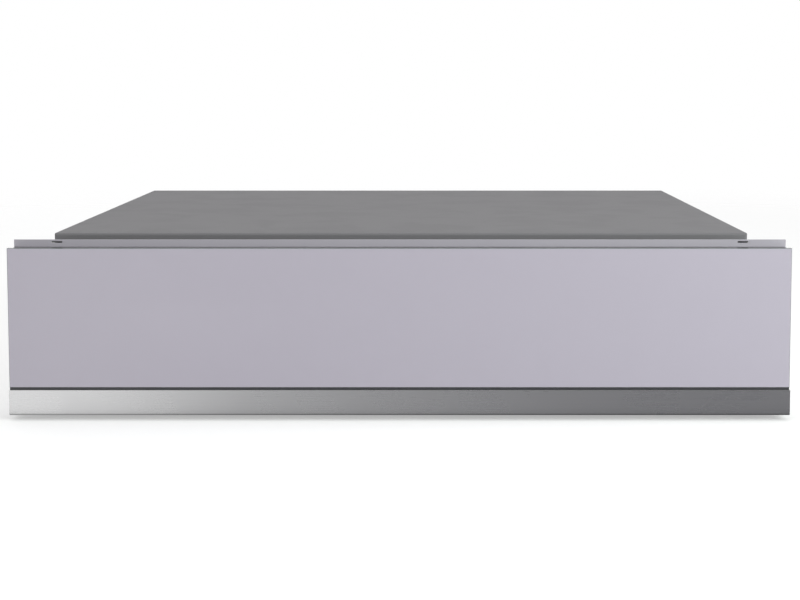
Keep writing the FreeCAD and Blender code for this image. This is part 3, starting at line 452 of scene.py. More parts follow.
def smear(tree, rough, hands, amount):
    """Fingers change the roughness where they touched."""
    return math_node(tree, "ADD", rough, math_node(tree, "MULTIPLY", hands["Smudge"], amount))


def connect(tree, shader, colour, rough, edges=None, height=None, strength=0.0, depth=0.0):
    """Join colour, roughness and, on top of the softened edges, a relief to the shader."""
    tree.links.new(colour, shader["Base Color"])
    tree.links.new(rough, shader["Roughness"])
    if height is not None:
        bump = node(tree, "Bump", Strength=strength, Distance=depth,
                    Height=height, Normal=edges["Normal"])
        tree.links.new(bump, shader["Normal"])


def shade(colour, factor):
    """The same colour, lighter or darker."""
    return tuple(min(1.0, c * factor) for c in colour)


def dress(material, *names):
    """Give the material to CAD nodes, whose meshes stay as they are."""
    for name in names:
        nodes[name].data.materials[0] = material
    print(material.name, "on", ", ".join(names))


# %% [markdown]
# ### Metal sheet, bar and castings
#
# **Brushed or ground steel** is bare metal, so its colour is that of the metal and everything else
# is roughness. The streak mask moves both by a little. **Plated steel** is the same with a faint
# warm or blue cast from the passivation.

# %% Brushed metal
def brushed_metal(name, colour, density, roughness,
                  contrast=0.10, edge=0.0004, wear=0.25, dust=0.12):
    """Bare metal with belt lines, brighter edges, finger marks and a little dust."""
    material, tree, shader = start_material(name, Metallic=1.0)
    grain = place_group(tree, brushed_grain, Density=density)
    edges, hands = surface(tree, edge, wear, dust)
    lined = tint(tree, grain["Streak"],
                 shade(colour, 1.0 - contrast), shade(colour, 1.0 + contrast))
    bright = tint(tree, edges["Worn"], lined, shade(colour, 1.35))
    dusty = tint(tree, hands["Dust"], bright, (0.55, 0.54, 0.52))
    rough = spread(tree, grain["Streak"], roughness - 0.08, roughness + 0.08)
    connect(tree, shader, dusty, smear(tree, rough, hands, 0.05),
            edges, grain["Streak"], strength=0.12, depth=0.0002)
    return material


along_x = (9.0, 1300.0, 1300.0)
along_y = (1300.0, 9.0, 1300.0)
turned_x = (2600.0, 20.0, 20.0)
turned_y = (20.0, 2600.0, 20.0)
turned_z = (20.0, 20.0, 2600.0)
steel = (0.52, 0.52, 0.52)
plated = (0.60, 0.61, 0.60)
print("steel", steel, "plated steel", plated)

# %% [markdown]
# **Galvanised sheet** makes up the fixed casing, which nobody sees once the drawer is built in. Its
# crystals change the grey and, more than that, the gloss. Cut edges stay dull grey.

# %% Galvanised sheet
def galvanised_sheet(name, colour, cells):
    """Zinc-coated sheet with crystals, dull at its cut edges."""
    material, tree, shader = start_material(name, Metallic=0.85)
    zinc = place_group(tree, zinc_spangle, Cells=cells)
    edges, hands = surface(tree, edge=0.0004, wear=0.5, dust=0.3)
    flakes = tint(tree, zinc["Crystal"], shade(colour, 0.86), shade(colour, 1.12))
    frosted = tint(tree, spread(tree, zinc["Frost"], 0.0, 0.35), flakes, shade(colour, 0.8))
    worn = tint(tree, edges["Worn"], frosted, shade(colour, 0.7))
    dusty = tint(tree, hands["Dust"], worn, (0.5, 0.49, 0.47))
    rough = spread(tree, zinc["Crystal"], 0.36, 0.52)
    connect(tree, shader, dusty, smear(tree, rough, hands, 0.06),
            edges, zinc["Frost"], strength=0.10, depth=0.0002)
    return material


zinc_grey = (0.52, 0.53, 0.53)
casing_sheet = galvanised_sheet("galvanised_sheet", zinc_grey, 130.0)
dress(casing_sheet, "housing_base", "housing_back", "housing_side_left", "housing_side_right")

# %% [markdown]
# **Powder coat** covers the top sheet and the folded carrier of the front. Powder flows out with a
# faint orange-peel surface, half matt. The coat keeps its colour everywhere except on edges that
# have been knocked.

# %% Powder-coated sheet
def powder_coat(name, colour, roughness, wear=0.3, dust=0.15):
    """Painted sheet with orange peel and a few rubbed edges."""
    material, tree, shader = start_material(name, Specular_IOR_Level=0.12)
    skin = place_group(tree, moulded_grain, Grain=700.0)
    edges, hands = surface(tree, edge=0.0005, wear=wear, dust=dust)
    clouded = tint(tree, skin["Cloud"], shade(colour, 0.985), shade(colour, 1.015))
    rubbed = tint(tree, edges["Worn"], clouded, shade(colour, 1.5))
    dusty = tint(tree, hands["Dust"], rubbed, (0.42, 0.42, 0.41))
    rough = spread(tree, skin["Height"], roughness - 0.05, roughness + 0.05)
    connect(tree, shader, dusty, smear(tree, rough, hands, 0.05),
            edges, skin["Height"], strength=0.18, depth=0.0003)
    return material


cover_grey = (0.228, 0.223, 0.232)
dress(powder_coat("cover_coat", cover_grey, 0.62, dust=0.0), "top_cover")
# The carrier's coat is near black, so its top face shows as a painted shadow line along the top of the
# glass.
dress(powder_coat("carrier_coat_painted_shade", (0.10, 0.10, 0.105), 0.5), "front_carrier")
dress(powder_coat("back_plate_coat", (0.560, 0.530, 0.590), 0.5, dust=0.05), "front_back_plate")

# %% [markdown]
# **Castings** come out of the die with a dull, slightly pebbled skin, and machined faces are
# brighter. Aluminium blocks that are milled all over get the brushed recipe instead. **Deep-drawn
# steel** has no direction at all: the press stretches the sheet every way, and the chamber is
# polished afterwards.

# %% Cast aluminium and drawn steel
def cast_metal(name, colour, grain):
    """Die-cast metal with a pebbled skin and bright knocked edges."""
    material, tree, shader = start_material(name, Metallic=0.9)
    skin = place_group(tree, moulded_grain, Grain=grain)
    edges, hands = surface(tree, edge=0.0007, wear=0.7, dust=0.25)
    clouded = tint(tree, skin["Cloud"], shade(colour, 0.82), shade(colour, 1.08))
    bright = tint(tree, edges["Worn"], clouded, shade(colour, 1.45))
    dusty = tint(tree, hands["Dust"], bright, (0.45, 0.44, 0.42))
    connect(tree, shader, dusty, spread(tree, skin["Height"], 0.42, 0.66),
            edges, skin["Height"], strength=0.35, depth=0.0005)
    return material


def drawn_metal(name, colour, roughness):
    """Deep-drawn steel: polished evenly in all directions, with the slow waves of the press."""
    material, tree, shader = start_material(name, Metallic=1.0)
    skin = place_group(tree, moulded_grain, Grain=2600.0)
    edges = place_group(tree, soft_edges, Radius=0.0008, Wear=0.2)
    clouded = tint(tree, skin["Cloud"], shade(colour, 0.97), shade(colour, 1.03))
    bright = tint(tree, edges["Worn"], clouded, shade(colour, 1.3))
    connect(tree, shader, bright, spread(tree, skin["Height"], roughness - 0.03, roughness + 0.05),
            edges, skin["Height"], strength=0.08, depth=0.0002)
    return material


cast_grey = (0.50, 0.50, 0.51)
dress(cast_metal("cast_motor", cast_grey, 1100.0), "pump_motor")
dress(cast_metal("cast_crankcase", shade(cast_grey, 1.1), 900.0), "pump_crankcases")
dress(cast_metal("cast_head", shade(cast_grey, 1.18), 1000.0), "pump_heads")

# %% [markdown]
# ### Plastics and rubber
#
# Moulded parts share one recipe: a base colour, the grain of the tool, and edges that are a little
# paler where they were handled. Rubber is rougher and collects dust. A table lists each finish with
# its values and the pieces that get it.

# %% Moulded plastic and rubber
def moulded(name, colour, roughness, grain=2400.0, bump=0.25, wear=0.25, dust=0.15, **sockets):
    """Moulded part with the grain of its tool."""
    material, tree, shader = start_material(name, **sockets)
    skin = place_group(tree, moulded_grain, Grain=grain)
    edges, hands = surface(tree, edge=0.0004, wear=wear, dust=dust)
    clouded = tint(tree, skin["Cloud"], shade(colour, 0.88), shade(colour, 1.12))
    pale = tuple(c * 0.6 + 0.12 for c in colour)
    rubbed = tint(tree, edges["Worn"], clouded, pale)
    dusty = tint(tree, hands["Dust"], rubbed, dust_on_plastic)
    rough = spread(tree, skin["Height"], roughness - 0.07, roughness + 0.07)
    connect(tree, shader, dusty, smear(tree, rough, hands, -0.06),
            edges, skin["Height"], strength=bump, depth=0.0003)
    return material


dust_on_plastic = (0.36, 0.35, 0.34)
black = (0.028, 0.028, 0.030)
for name, colour, roughness, grain, dust, *pieces in (
        ("soft_rubber", (0.022, 0.022, 0.023), 0.78, 1500.0, 0.3,
         "base_pads", "front_bumpers", "pump_mounts"),
        ("seam_rubber", (0.075, 0.075, 0.080), 0.6, 2400.0, 0.1, "seam_gasket"),
        ("chamber_silicone", (0.05, 0.05, 0.055), 0.42, 1800.0, 0.08, "chamber_seal"),
        ("gland_nylon", black, 0.45, 2400.0, 0.15, "mains_gland"),
        ("latch_nylon", (0.06, 0.06, 0.065), 0.42, 2400.0, 0.15, "latch_bodies"),
        ("shroud_nylon", black, 0.5, 2400.0, 0.15, "fan_shroud"),
        ("coil_resin", (0.03, 0.03, 0.034), 0.35, 2400.0, 0.25, "solenoid_coils"),
        ("white_acetal", (0.70, 0.70, 0.68), 0.38, 2400.0, 0.1,
         "latch_plunger_left", "latch_plunger_right"),
        ("red_silicone", (0.42, 0.030, 0.022), 0.40, 1600.0, 0.05, "counter_bar")):
    dress(moulded(name, colour, roughness, grain, dust=dust), *pieces)
hose_silicone = moulded("hose_silicone", (0.62, 0.62, 0.58), 0.33, dust=0.1,
                        Subsurface_Weight=0.25, Subsurface_Scale=0.004)
dress(hose_silicone, "hoses")

# %% [markdown]
# ## Dressing the slides and the drawer
#
# Slides are roll-formed from plated strip, with draw lines along their length. Each cage between them
# is stamped from thin brass-coloured strip. The tray is folded from plain sheet, and what the user
# sees when the drawer is open, the deck, the hood over the pump and the chamber, is stainless.

# %% Slides, tray and stainless parts
for piece in ("outer_rail", "middle_rail", "inner_rail"):
    finish = brushed_metal(piece + "_plated", plated, along_y, 0.30, wear=0.3, dust=0.1)
    dress(finish, piece + "_left", piece + "_right")
layers = ("outer", "inner")
sides = ("left", "right")
brass = brushed_metal("cage_strip", (0.62, 0.47, 0.22), along_y, 0.34)
dress(brass, *[layer + "_ball_cage_" + side for layer in layers for side in sides])

dress(drawn_metal("tub_steel", shade(steel, 1.06), 0.22), "chamber_tub")
for name, colour, density, roughness, dust, *pieces in (
        ("tray_sheet", shade(steel, 0.92), along_y, 0.40, 0.25, "drawer_tray"),
        ("deck_steel", steel, along_x, 0.30, 0.0, "deck_plate"),
        ("hood_steel", shade(steel, 0.96), along_x, 0.34, 0.03, "bay_cover"),
        ("gusset_phosphate", (0.11, 0.11, 0.115), along_y, 0.5, 0.12, "front_gussets"),
        ("rim_steel", shade(steel, 0.94), along_x, 0.26, 0.0, "chamber_rim"),
        ("post_steel", shade(steel, 0.9), turned_z, 0.36, 0.12, "chamber_posts"),
        ("grip_steel", shade(steel, 1.05), along_x, 0.24, 0.12, "lid_grip"),
        ("hinge_steel", shade(steel, 1.02), along_y, 0.28, 0.12, "lid_hinge_arms", "hinge_brackets"),
        ("pin_steel", (0.70, 0.70, 0.71), turned_x, 0.14, 0.0, "hinge_pins"),
        ("port_aluminium", (0.72, 0.72, 0.73), turned_y, 0.30, 0.12, "suction_port"),
        ("cylinder_aluminium", (0.70, 0.71, 0.72), turned_z, 0.28, 0.12, "lift_cylinders"),
        ("manifold_aluminium", (0.68, 0.69, 0.70), along_x, 0.34, 0.12, "valve_block"),
        ("clamp_plated", (0.58, 0.56, 0.50), turned_z, 0.36, 0.12, "transformer_clamp"),
        ("band_alloy", (0.42, 0.40, 0.38), along_x, 0.34, 0.0, "heating_band")):
    dress(brushed_metal(name, colour, density, roughness, dust=dust), *pieces)

# %% [markdown]
# ## The front
#
# The strip is folded stainless with its belt lines along the length. The glass above it is clear
# float glass with lacquer on its back: what shows is the lacquer's colour under a hard clear
# surface, so the recipe is a coloured base under a full clear coat. The ground edge has no lacquer
# behind it and looks darker and a little green.

# %% Strip and lacquered glass
long_belt = (5.0, 2200.0, 2200.0)
strip_steel = brushed_metal("strip_steel", (0.60, 0.60, 0.605), long_belt, 0.27,
                            contrast=0.05, edge=0.0003, dust=0.0)
dress(strip_steel, "front_strip")


def lacquered_glass(name, lacquer, edge_colour):
    """Glass over lacquer: coloured base, hard clear coat, darker ground edges."""
    material, tree, shader = start_material(
        name, Coat_Weight=1.0, Coat_Roughness=0.015, Coat_IOR=1.45, Specular_IOR_Level=0.15)
    skin = place_group(tree, moulded_grain, Grain=300.0)
    hands = place_group(tree, handling, Dust=0.0)
    clouded = tint(tree, skin["Cloud"], shade(lacquer, 0.99), shade(lacquer, 1.01))
    facing = split(tree, node(tree, "TexCoord", outlet="Normal"))["Y"]
    turned_away = math_node(tree, "SUBTRACT", 1.0, math_node(tree, "ABSOLUTE", facing))
    ground = node(tree, "MapRange", Value=turned_away, From_Min=0.15, From_Max=0.3)
    connect(tree, shader, tint(tree, ground, clouded, edge_colour),
            spread(tree, hands["Smudge"], 0.50, 0.56))
    return material


lacquer_mauve = (0.527, 0.489, 0.570)
ground_green = (0.16, 0.18, 0.18)
dress(lacquered_glass("lavender_glass", lacquer_mauve, ground_green), "front_glass")

# %% [markdown]
# ## Glass parts inside
#
# The lid is 10 mm toughened glass, clear with a green cast in its depth. It is real glass to the
# shader: full transmission and the refraction of glass. A thick pane would throw a black shadow in
# this renderer, so it lets light pass. The touch glass in front of the lid is printed black from
# behind.

# %% Clear lid and black touch glass
clear_glass, tree, shader = start_material(
    "lid_clear_glass", Transmission_Weight=1.0, IOR=1.46, Metallic=0.0)
edges, hands = surface(tree, edge=0.0006, wear=1.0, dust=0.2)
deep = tint(tree, edges["Worn"], (0.955, 0.985, 0.970), (0.80, 0.93, 0.88))
connect(tree, shader, deep, spread(tree, hands["Smudge"], 0.0, 0.05))
dress(clear_glass, "lid_glass")
nodes["lid_glass"].visible_shadow = False

black_glass, tree, shader = start_material(
    "black_touch_glass", Coat_Weight=1.0, Coat_Roughness=0.02, Specular_IOR_Level=0.2)
skin = place_group(tree, moulded_grain, Grain=500.0)
edges, hands = surface(tree, edge=0.0005, wear=0.5, dust=0.08)
inked = tint(tree, skin["Cloud"], (0.010, 0.010, 0.011), (0.016, 0.016, 0.018))
connect(tree, shader, tint(tree, edges["Worn"], inked, (0.12, 0.14, 0.13)),
        spread(tree, hands["Smudge"], 0.22, 0.36))
dress(black_glass, "control_glass")

# %% [markdown]
# ## Circuit boards, winding, fan and sealing bar
#
# These four have a finish that changes with place: copper paths under green solder mask, film
# wrapped round a ring, a plastic fan on a steel shaft, and a resin bar on steel rods. Each place is
# found from object coordinates, in metres, so a mask is a comparison with the solid's own box.

# %% Circuit boards
board_paths, get, put = new_group("board_paths", {"Cells": 260.0}, ["Path", "Pad"])
place = object_place(board_paths)
cells = {"Vector": place, "Scale": get["Cells"], "Randomness": 0.55}
across = node(board_paths, "TexVoronoi", {"feature": "DISTANCE_TO_EDGE"}, **cells)
path = node(board_paths, "MapRange", Value=across, From_Min=0.10, From_Max=0.06)
board_paths.links.new(path, put["Path"])
dots = node(board_paths, "TexVoronoi", **cells)
pad = node(board_paths, "MapRange", Value=dots, From_Min=0.20, From_Max=0.15)
board_paths.links.new(pad, put["Pad"])


def circuit_board(name):
    """Green mask over copper paths, with tinned pads."""
    material, tree, shader = start_material(name, Coat_Weight=0.3, Coat_Roughness=0.2)
    paths = place_group(tree, board_paths)
    edges, hands = surface(tree, edge=0.0002, wear=0.4, dust=0.25)
    mask = tint(tree, paths["Path"], (0.012, 0.075, 0.030), (0.020, 0.130, 0.050))
    tinned = tint(tree, paths["Pad"], mask, (0.55, 0.54, 0.50))
    edged = tint(tree, edges["Worn"], tinned, (0.35, 0.33, 0.20))
    dusty = tint(tree, hands["Dust"], edged, (0.35, 0.35, 0.33))
    connect(tree, shader, dusty, spread(tree, paths["Pad"], 0.42, 0.25),
            edges, paths["Path"], strength=0.3, depth=0.0002)
    return material


dress(circuit_board("green_board"), "control_board", "power_board")
dress(moulded("component_cases", (0.045, 0.045, 0.050), 0.36, dust=0.2), "board_parts")

# %% [markdown]
# The transformer is a ring wound with wire and wrapped in overlapping film. The film's turns run
# outwards from the middle of the ring, so the pattern follows the angle round the axis: the angle is
# multiplied by the number of turns and folded into a saw tooth, which is also the height of each
# overlap.

# %% Film-wrapped transformer
film_turns = 46
low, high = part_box("transformer")
axis = (low + high) / 2
wrapped, tree, shader = start_material("film_wrap", Coat_Weight=0.4, Coat_Roughness=0.15)
place = object_place(tree)
offset = split(tree, node(tree, "VectorMath", {"operation": "SUBTRACT"}, _0=place, _1=axis))
angle = math_node(tree, "ARCTAN2", offset["Y"], offset["X"])
turn = math_node(tree, "MULTIPLY", angle, film_turns / math.tau)
lap = math_node(tree, "FRACT", turn)
edges, hands = surface(tree, edge=0.0012, wear=0.2, dust=0.25)
film = tint(tree, lap, (0.34, 0.20, 0.030), (0.52, 0.36, 0.070))
dusty = tint(tree, hands["Dust"], film, (0.42, 0.38, 0.30))
connect(tree, shader, dusty, spread(tree, lap, 0.22, 0.40),
        edges, lap, strength=0.5, depth=0.0006)
dress(wrapped, "transformer")

# %% [markdown]
# The fan and its shaft are one solid, and so are the sealing bar and its rods. A mask that switches
# at a known plane gives each part its own finish: the shaft starts where the hub ends, and the rods
# where the bar ends. The mask feeds both the colour and the metallic value.

# %% Two finishes on one solid
def two_finishes(name, axis_name, switch, plastic, metal_colour, metal_above):
    """Moulded plastic on one side of a plane and ground steel on the other."""
    material, tree, shader = start_material(name)
    where = split(tree, object_place(tree))
    test = "GREATER_THAN" if metal_above else "LESS_THAN"
    is_metal = math_node(tree, test, where[axis_name], switch)
    skin = place_group(tree, moulded_grain, Grain=2200.0)
    edges, hands = surface(tree, edge=0.0004, wear=0.3, dust=0.15)
    clouded = tint(tree, skin["Cloud"], shade(plastic, 0.88), shade(plastic, 1.12))
    both = tint(tree, is_metal, clouded, metal_colour)
    dusty = tint(tree, hands["Dust"], both, dust_on_plastic)
    tree.links.new(is_metal, shader["Metallic"])
    connect(tree, shader, dusty, spread(tree, is_metal, 0.46, 0.22),
            edges, skin["Height"], strength=0.15, depth=0.0003)
    return material


hub_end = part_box("fan_shroud")[1].x
shaft_steel = (0.62, 0.62, 0.63)
fan_and_shaft = two_finishes("fan_and_shaft", "X", hub_end, black, shaft_steel, metal_above=True)
dress(fan_and_shaft, "fan_rotor")

bar_low, bar_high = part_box("sealing_bar")
bar_height = 18.0 * mm
bar_resin = (0.050, 0.048, 0.045)
rod_steel = (0.66, 0.66, 0.67)
bar_and_rods = two_finishes("bar_and_rods", "Z", bar_high.z - bar_height, bar_resin, rod_steel,
                            metal_above=False)
dress(bar_and_rods, "sealing_bar")

# %% [markdown]
# ## Small pieces
#
# What a workshop adds last is small: screws, slide balls, printed marks and tape. They are built
# point by point with bmesh, because each is a simple section that is turned or drawn along a line.
# A ready-made cylinder would do from afar, but close up a screw is known by its low dome and by the
# socket in it.
#
# The helpers make a ring of points, join rings into a skin, and turn the finished mesh into a piece
# that moves with its body.

# %% Helpers for meshes
def ring(build, turn, centre, radius, height, swell=0.0, lobes=6, around=36):
    """Closed ring of points round an axis. Swell lets the radius grow and shrink once a lobe."""
    points = []
    for step in range(around):
        angle = math.tau * step / around
        reach = radius * (1.0 + swell * math.cos(lobes * angle))
        offset = Vector((reach * math.cos(angle), reach * math.sin(angle), height))
        points.append(build.verts.new(centre + turn @ offset))
    return points


def join_rings(build, rings, smooth=True):
    """Faces between neighbouring rings."""
    for low, high in zip(rings, rings[1:]):
        for here in range(len(low)):
            after = (here + 1) % len(low)
            build.faces.new((low[here], low[after], high[after], high[here])).smooth = smooth


def make_piece(name, build, material, body):
    """Turn a finished mesh into a piece that rides on a body."""
    bmesh.ops.recalc_face_normals(build, faces=build.faces)
    mesh = bpy.data.meshes.new(name)
    build.to_mesh(mesh)
    build.free()
    mesh.materials.append(material)
    piece = bpy.data.objects.new(name, mesh)
    bpy.context.scene.collection.objects.link(piece)
    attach(piece, body)
    print(name, "has", len(mesh.polygons), "faces and rides on", body)


# %% [markdown]
# ### Screws
#
# The head is one profile turned round the axis. Its socket is a ring whose radius swells six times,
# drawn into the dome and closed at the bottom. The top ring of the dome and both rings of the socket
# keep a sharp edge, and everything else is shaded smooth.

# %% One screw head
head_profile = ((1.0, 0.0), (1.0, 0.25), (0.94, 0.55), (0.80, 0.82), (0.60, 1.0))
socket_share = 0.42
socket_swell = 0.13
socket_floor = 0.15


def screw_head(build, place, axis, radius, rise):
    """Low domed head with a six-lobed socket, on a face that looks along the axis."""
    turn = Vector(axis).to_track_quat("Z", "Y").to_matrix()
    centre = Vector(place)
    dome = [ring(build, turn, centre, radius * share, rise * height)
            for share, height in head_profile]
    socket = [ring(build, turn, centre, radius * socket_share, rise * height, socket_swell)
              for height in (1.0, socket_floor)]
    join_rings(build, dome + socket)
    build.faces.new(dome[0])
    build.faces.new(socket[1])
    for loop in (dome[-1], *socket):
        for here, after in zip(loop, loop[1:] + loop[:1]):
            build.edges.get((here, after)).smooth = False


even_grain = (300.0, 300.0, 300.0)
zinc_screw = brushed_metal("zinc_screw", (0.64, 0.64, 0.63), even_grain, 0.26, wear=0.5, dust=0.05)
black_screw = brushed_metal("black_screw", (0.10, 0.10, 0.105), even_grain, 0.38, wear=0.8)
print("screw head profile", len(head_profile), "rings")

# %% [markdown]
# Screws come in sets of one size, so one helper drives a whole set into a piece of its own. It takes
# pairs of a place and the direction that the head looks in.

# %% One set of screws
facing_up, facing_back, facing_front = (0, 0, 1), (0, 1, 0), (0, -1, 0)


def screws(name, spots, radius, rise, material, body):
    """A set of equal screw heads as one piece."""
    build = bmesh.new()
    for place, axis in spots:
        screw_head(build, place, axis, radius, rise)
    make_piece(name, build, material, body)


# %% [markdown]
# The cover is screwed through its folded sides and the back panel through its corners. Each place is
# counted from the box of the sheet that the screw holds, as on a drawing.

# %% Screws of the casing
low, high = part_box("top_cover")
cover_side = 278.0 * mm
screws("cover_screws",
       [((hand * cover_side, low.y + along * (high.y - low.y), low.z + 5.5 * mm), (hand, 0, 0))
        for hand in (-1, 1) for along in (0.17, 0.5, 0.83)],
       radius=3.4 * mm, rise=0.9 * mm, material=black_screw, body="casing")

low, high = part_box("housing_back")
screws("back_panel_screws",
       [((across * high.x, high.y, height), facing_back)
        for across in (-0.94, -0.34, 0.34, 0.94)
        for height in (low.z + 8.0 * mm, high.z - 16.0 * mm)],
       radius=3.6 * mm, rise=1.6 * mm, material=zinc_screw, body="casing")

# %% [markdown]
# The heads on the deck and the hood rise by half a millimetre only, so that nothing catches a cloth.
# The corner brackets of the front are screwed to the deck and to the back plate, and the lid is
# clamped by its two hinge arms.

# %% Screws of the drawer and the lid
low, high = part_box("deck_plate")
screws("deck_screws",
       [((hand * (high.x - 8 * mm), y, high.z), facing_up)
        for hand in (-1, 1) for y in (low.y + 62 * mm, (low.y + high.y) / 2, high.y - 12 * mm)],
       radius=3.0 * mm, rise=0.5 * mm, material=zinc_screw, body="drawer")

low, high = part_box("bay_cover")
screws("hood_screws",
       [((hand * (high.x - 12 * mm), y, high.z), facing_up)
        for hand in (-1, 1) for y in (low.y + 20 * mm, high.y - 20 * mm)],
       radius=3.0 * mm, rise=0.5 * mm, material=zinc_screw, body="drawer")

low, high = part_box("front_gussets")
sheet = 1.0 * mm
foot_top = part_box("deck_plate")[1].z + sheet
flange_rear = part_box("front_back_plate")[1].y + sheet
bracket_middle = 257 * mm
spots = []
for hand in (-1, 1):
    spots += [((hand * bracket_middle, y, foot_top), facing_up)
              for y in (low.y + 12 * mm, high.y - 9 * mm)]
    spots += [((hand * bracket_middle, flange_rear, height), facing_back)
              for height in (low.z + 15 * mm, low.z + 36 * mm)]
screws("bracket_screws", spots, radius=3.2 * mm, rise=1.4 * mm, material=zinc_screw, body="drawer")

low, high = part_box("lid_hinge_arms")
arm_middle = 130 * mm
screws("hinge_arm_screws",
       [((hand * arm_middle + aside * mm, low.y + 12 * mm, high.z), facing_up)
        for hand in (-1, 1) for aside in (-6.0, 6.0)],
       radius=3.0 * mm, rise=1.2 * mm, material=zinc_screw, body="lid")

# %% [markdown]
# Each pump head is bolted to its crankcase. Nobody sees these bolts under the hood, but whoever
# lifts it off does.

# %% Bolts of the pump heads
low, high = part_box("pump_heads")
screws("pump_head_bolts",
       [((middle + aside * mm, low.y, height), facing_front)
        for middle in (low.x + 13 * mm, high.x - 13 * mm) for aside in (-8.5, 8.5)
        for height in (low.z + 6 * mm, high.z - 6 * mm)],
       radius=2.8 * mm, rise=1.8 * mm, material=black_screw, body="drawer")

# %% [markdown]
# ### Slide balls
#
# Each cage holds three hardened balls in every slot of its two arms. A bearing ball really is a
# plain sphere, so an icosphere with two subdivisions and smooth shading is the honest shape. The
# balls ride on their cage, whose travel lies halfway between those of the two rails beside it.

# %% Balls in the cages
ball_radius = 1.5 * mm
ball_pitch = 3.6 * mm
slot_rows = 5
free_edge = 0.4 * mm
web_edge = 1.2 * mm
arm_middle_depth = 0.3 * mm
polished_grain = (200.0, 200.0, 200.0)
ball_steel = brushed_metal("ball_steel", (0.72, 0.72, 0.73), polished_grain, 0.12,
                           contrast=0.03, wear=0.0, dust=0.0)
for layer in layers:
    for side in sides:
        cage = layer + "_ball_cage_" + side
        low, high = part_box(cage)
        left_edge, right_edge = (free_edge, web_edge) if low.x > 0 else (web_edge, free_edge)
        x = ((low.x + left_edge) + (high.x - right_edge)) / 2
        build = bmesh.new()
        for row in range(slot_rows):
            y = low.y + (row + 0.5) * (high.y - low.y) / slot_rows
            for z in (low.z + arm_middle_depth, high.z - arm_middle_depth):
                for step in (-1, 0, 1):
                    at = Vector((x, y + step * ball_pitch, z))
                    bmesh.ops.create_icosphere(build, subdivisions=2, radius=ball_radius,
                                               matrix=Matrix.Translation(at))
        for face in build.faces:
            face.smooth = True
        make_piece(layer + "_balls_" + side, build, ball_steel, cage)

# %% [markdown]
# ### Printed marks and display
#
# The touch glass carries six keys and a display. Each mark is a thin patch just above the glass, cut
# from bars, arcs and polygons: on and off, a jar for outside containers, three bars for the strength
# of the vacuum, three waves for the heat of the seam, stop and start. A picture texture would blur
# close up and needs a file, and a patch stays sharp.

# %% Bars, arcs and polygons on the glass
glass_low, glass_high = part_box("control_glass")
print_height = glass_high.z + 0.02 * mm
key_line = (glass_low.y + glass_high.y) / 2


def patch(build, points):
    """Flat patch of any outline, in millimetres from the middle of the key line."""
    corners = [build.verts.new((x * mm, key_line + y * mm, print_height)) for x, y in points]
    build.faces.new(corners)


def bar(build, x, y, width, height):
    """Upright rectangle round a middle."""
    a, b = width / 2, height / 2
    patch(build, [(x - a, y - b), (x + a, y - b), (x + a, y + b), (x - a, y + b)])


def arc(build, x, y, radius, width, start, end, steps=24):
    """Part of a circle line, from one angle to another in degrees."""
    inner, outer = radius - width / 2, radius + width / 2
    for step in range(steps):
        a = math.radians(start + (end - start) * step / steps)
        b = math.radians(start + (end - start) * (step + 1) / steps)
        patch(build, [(x + r * math.cos(t), y + r * math.sin(t))
                      for r, t in ((inner, a), (outer, a), (outer, b), (inner, b))])


def seven_segments(build, x, y, lit, width=6.0, height=11.0, line=1.1):
    """Digit of bars. The string names the bars that are drawn, from a to g."""
    half, quarter, gap = width / 2, height / 4, line * 0.7
    places = {"a": (0, 2 * quarter, True), "g": (0, 0, True), "d": (0, -2 * quarter, True),
              "f": (-half, quarter, False), "b": (half, quarter, False),
              "e": (-half, -quarter, False), "c": (half, -quarter, False)}
    for name in lit:
        across, up, level = places[name]
        long = (width if level else 2 * quarter) - 2 * gap
        bar(build, x + across, y + up, long if level else line, line if level else long)


print("marks lie at", round(print_height / mm, 2), "mm")

# %% [markdown]
# The marks are screen-printed in white, and a thin circle round each one shows where to touch. Every
# key has its place on the line, in millimetres from the middle, and its mark is drawn round that
# place.

# %% Print the keys
printed_white, tree, shader = start_material("printed_white", Specular_IOR_Level=0.3)
skin = place_group(tree, moulded_grain, Grain=3000.0)
connect(tree, shader, tint(tree, skin["Cloud"], (0.60, 0.60, 0.61), (0.70, 0.70, 0.71)),
        spread(tree, skin["Height"], 0.35, 0.50))

key_places = (-140, -96, -52, 52, 96, 140)
power_key, jar_key, vacuum_key, heat_key, stop_key, start_key = key_places
touch_circle = 7.6
build = bmesh.new()
arc(build, power_key, 0, 3.2, 0.55, 125, 415)
bar(build, power_key, 2.6, 0.6, 3.4)
arc(build, jar_key, 2.6, 2.4, 0.5, 0, 180, 12)
for wall in (-2.4, 2.4):
    bar(build, jar_key + wall, -0.6, 0.5, 6.4)
for level in (-3.6, 2.4):
    bar(build, jar_key, level, 5.3, 0.5)
for step in range(3):
    aside = 3 * (step - 1)
    bar(build, vacuum_key + aside, -2.4 + 0.9 * step, 1.3, 2.4 + 1.8 * step)
    arc(build, heat_key + aside, -1.6, 1.6, 0.5, 90, 270, 10)
    arc(build, heat_key + aside, 1.6, 1.6, 0.5, 270, 450, 10)
bar(build, stop_key, 0, 5.2, 5.2)
patch(build, [(start_key - 2.4, -3.0), (start_key + 3.0, 0.0), (start_key - 2.4, 3.0)])
for x in key_places:
    arc(build, x, 0, touch_circle, 0.22, 0, 360, 48)
make_piece("printed_keys", build, printed_white, "drawer")

# %% [markdown]
# The display shines through the black glass. Its digits give off light of their own, so they stay
# readable in the shade of the cover, and the strength is kept low enough not to light the glass.

# %% Light the display
display_glow, tree, shader = start_material("display_glow", Emission_Strength=0.9)
skin = place_group(tree, moulded_grain, Grain=1800.0)
lit = tint(tree, skin["Height"], (0.70, 0.80, 0.86), (0.82, 0.92, 0.96))
tree.links.new(lit, shader["Emission Color"])
connect(tree, shader, tint(tree, skin["Cloud"], (0.08, 0.09, 0.10), (0.12, 0.13, 0.14)),
        spread(tree, skin["Height"], 0.3, 0.4))

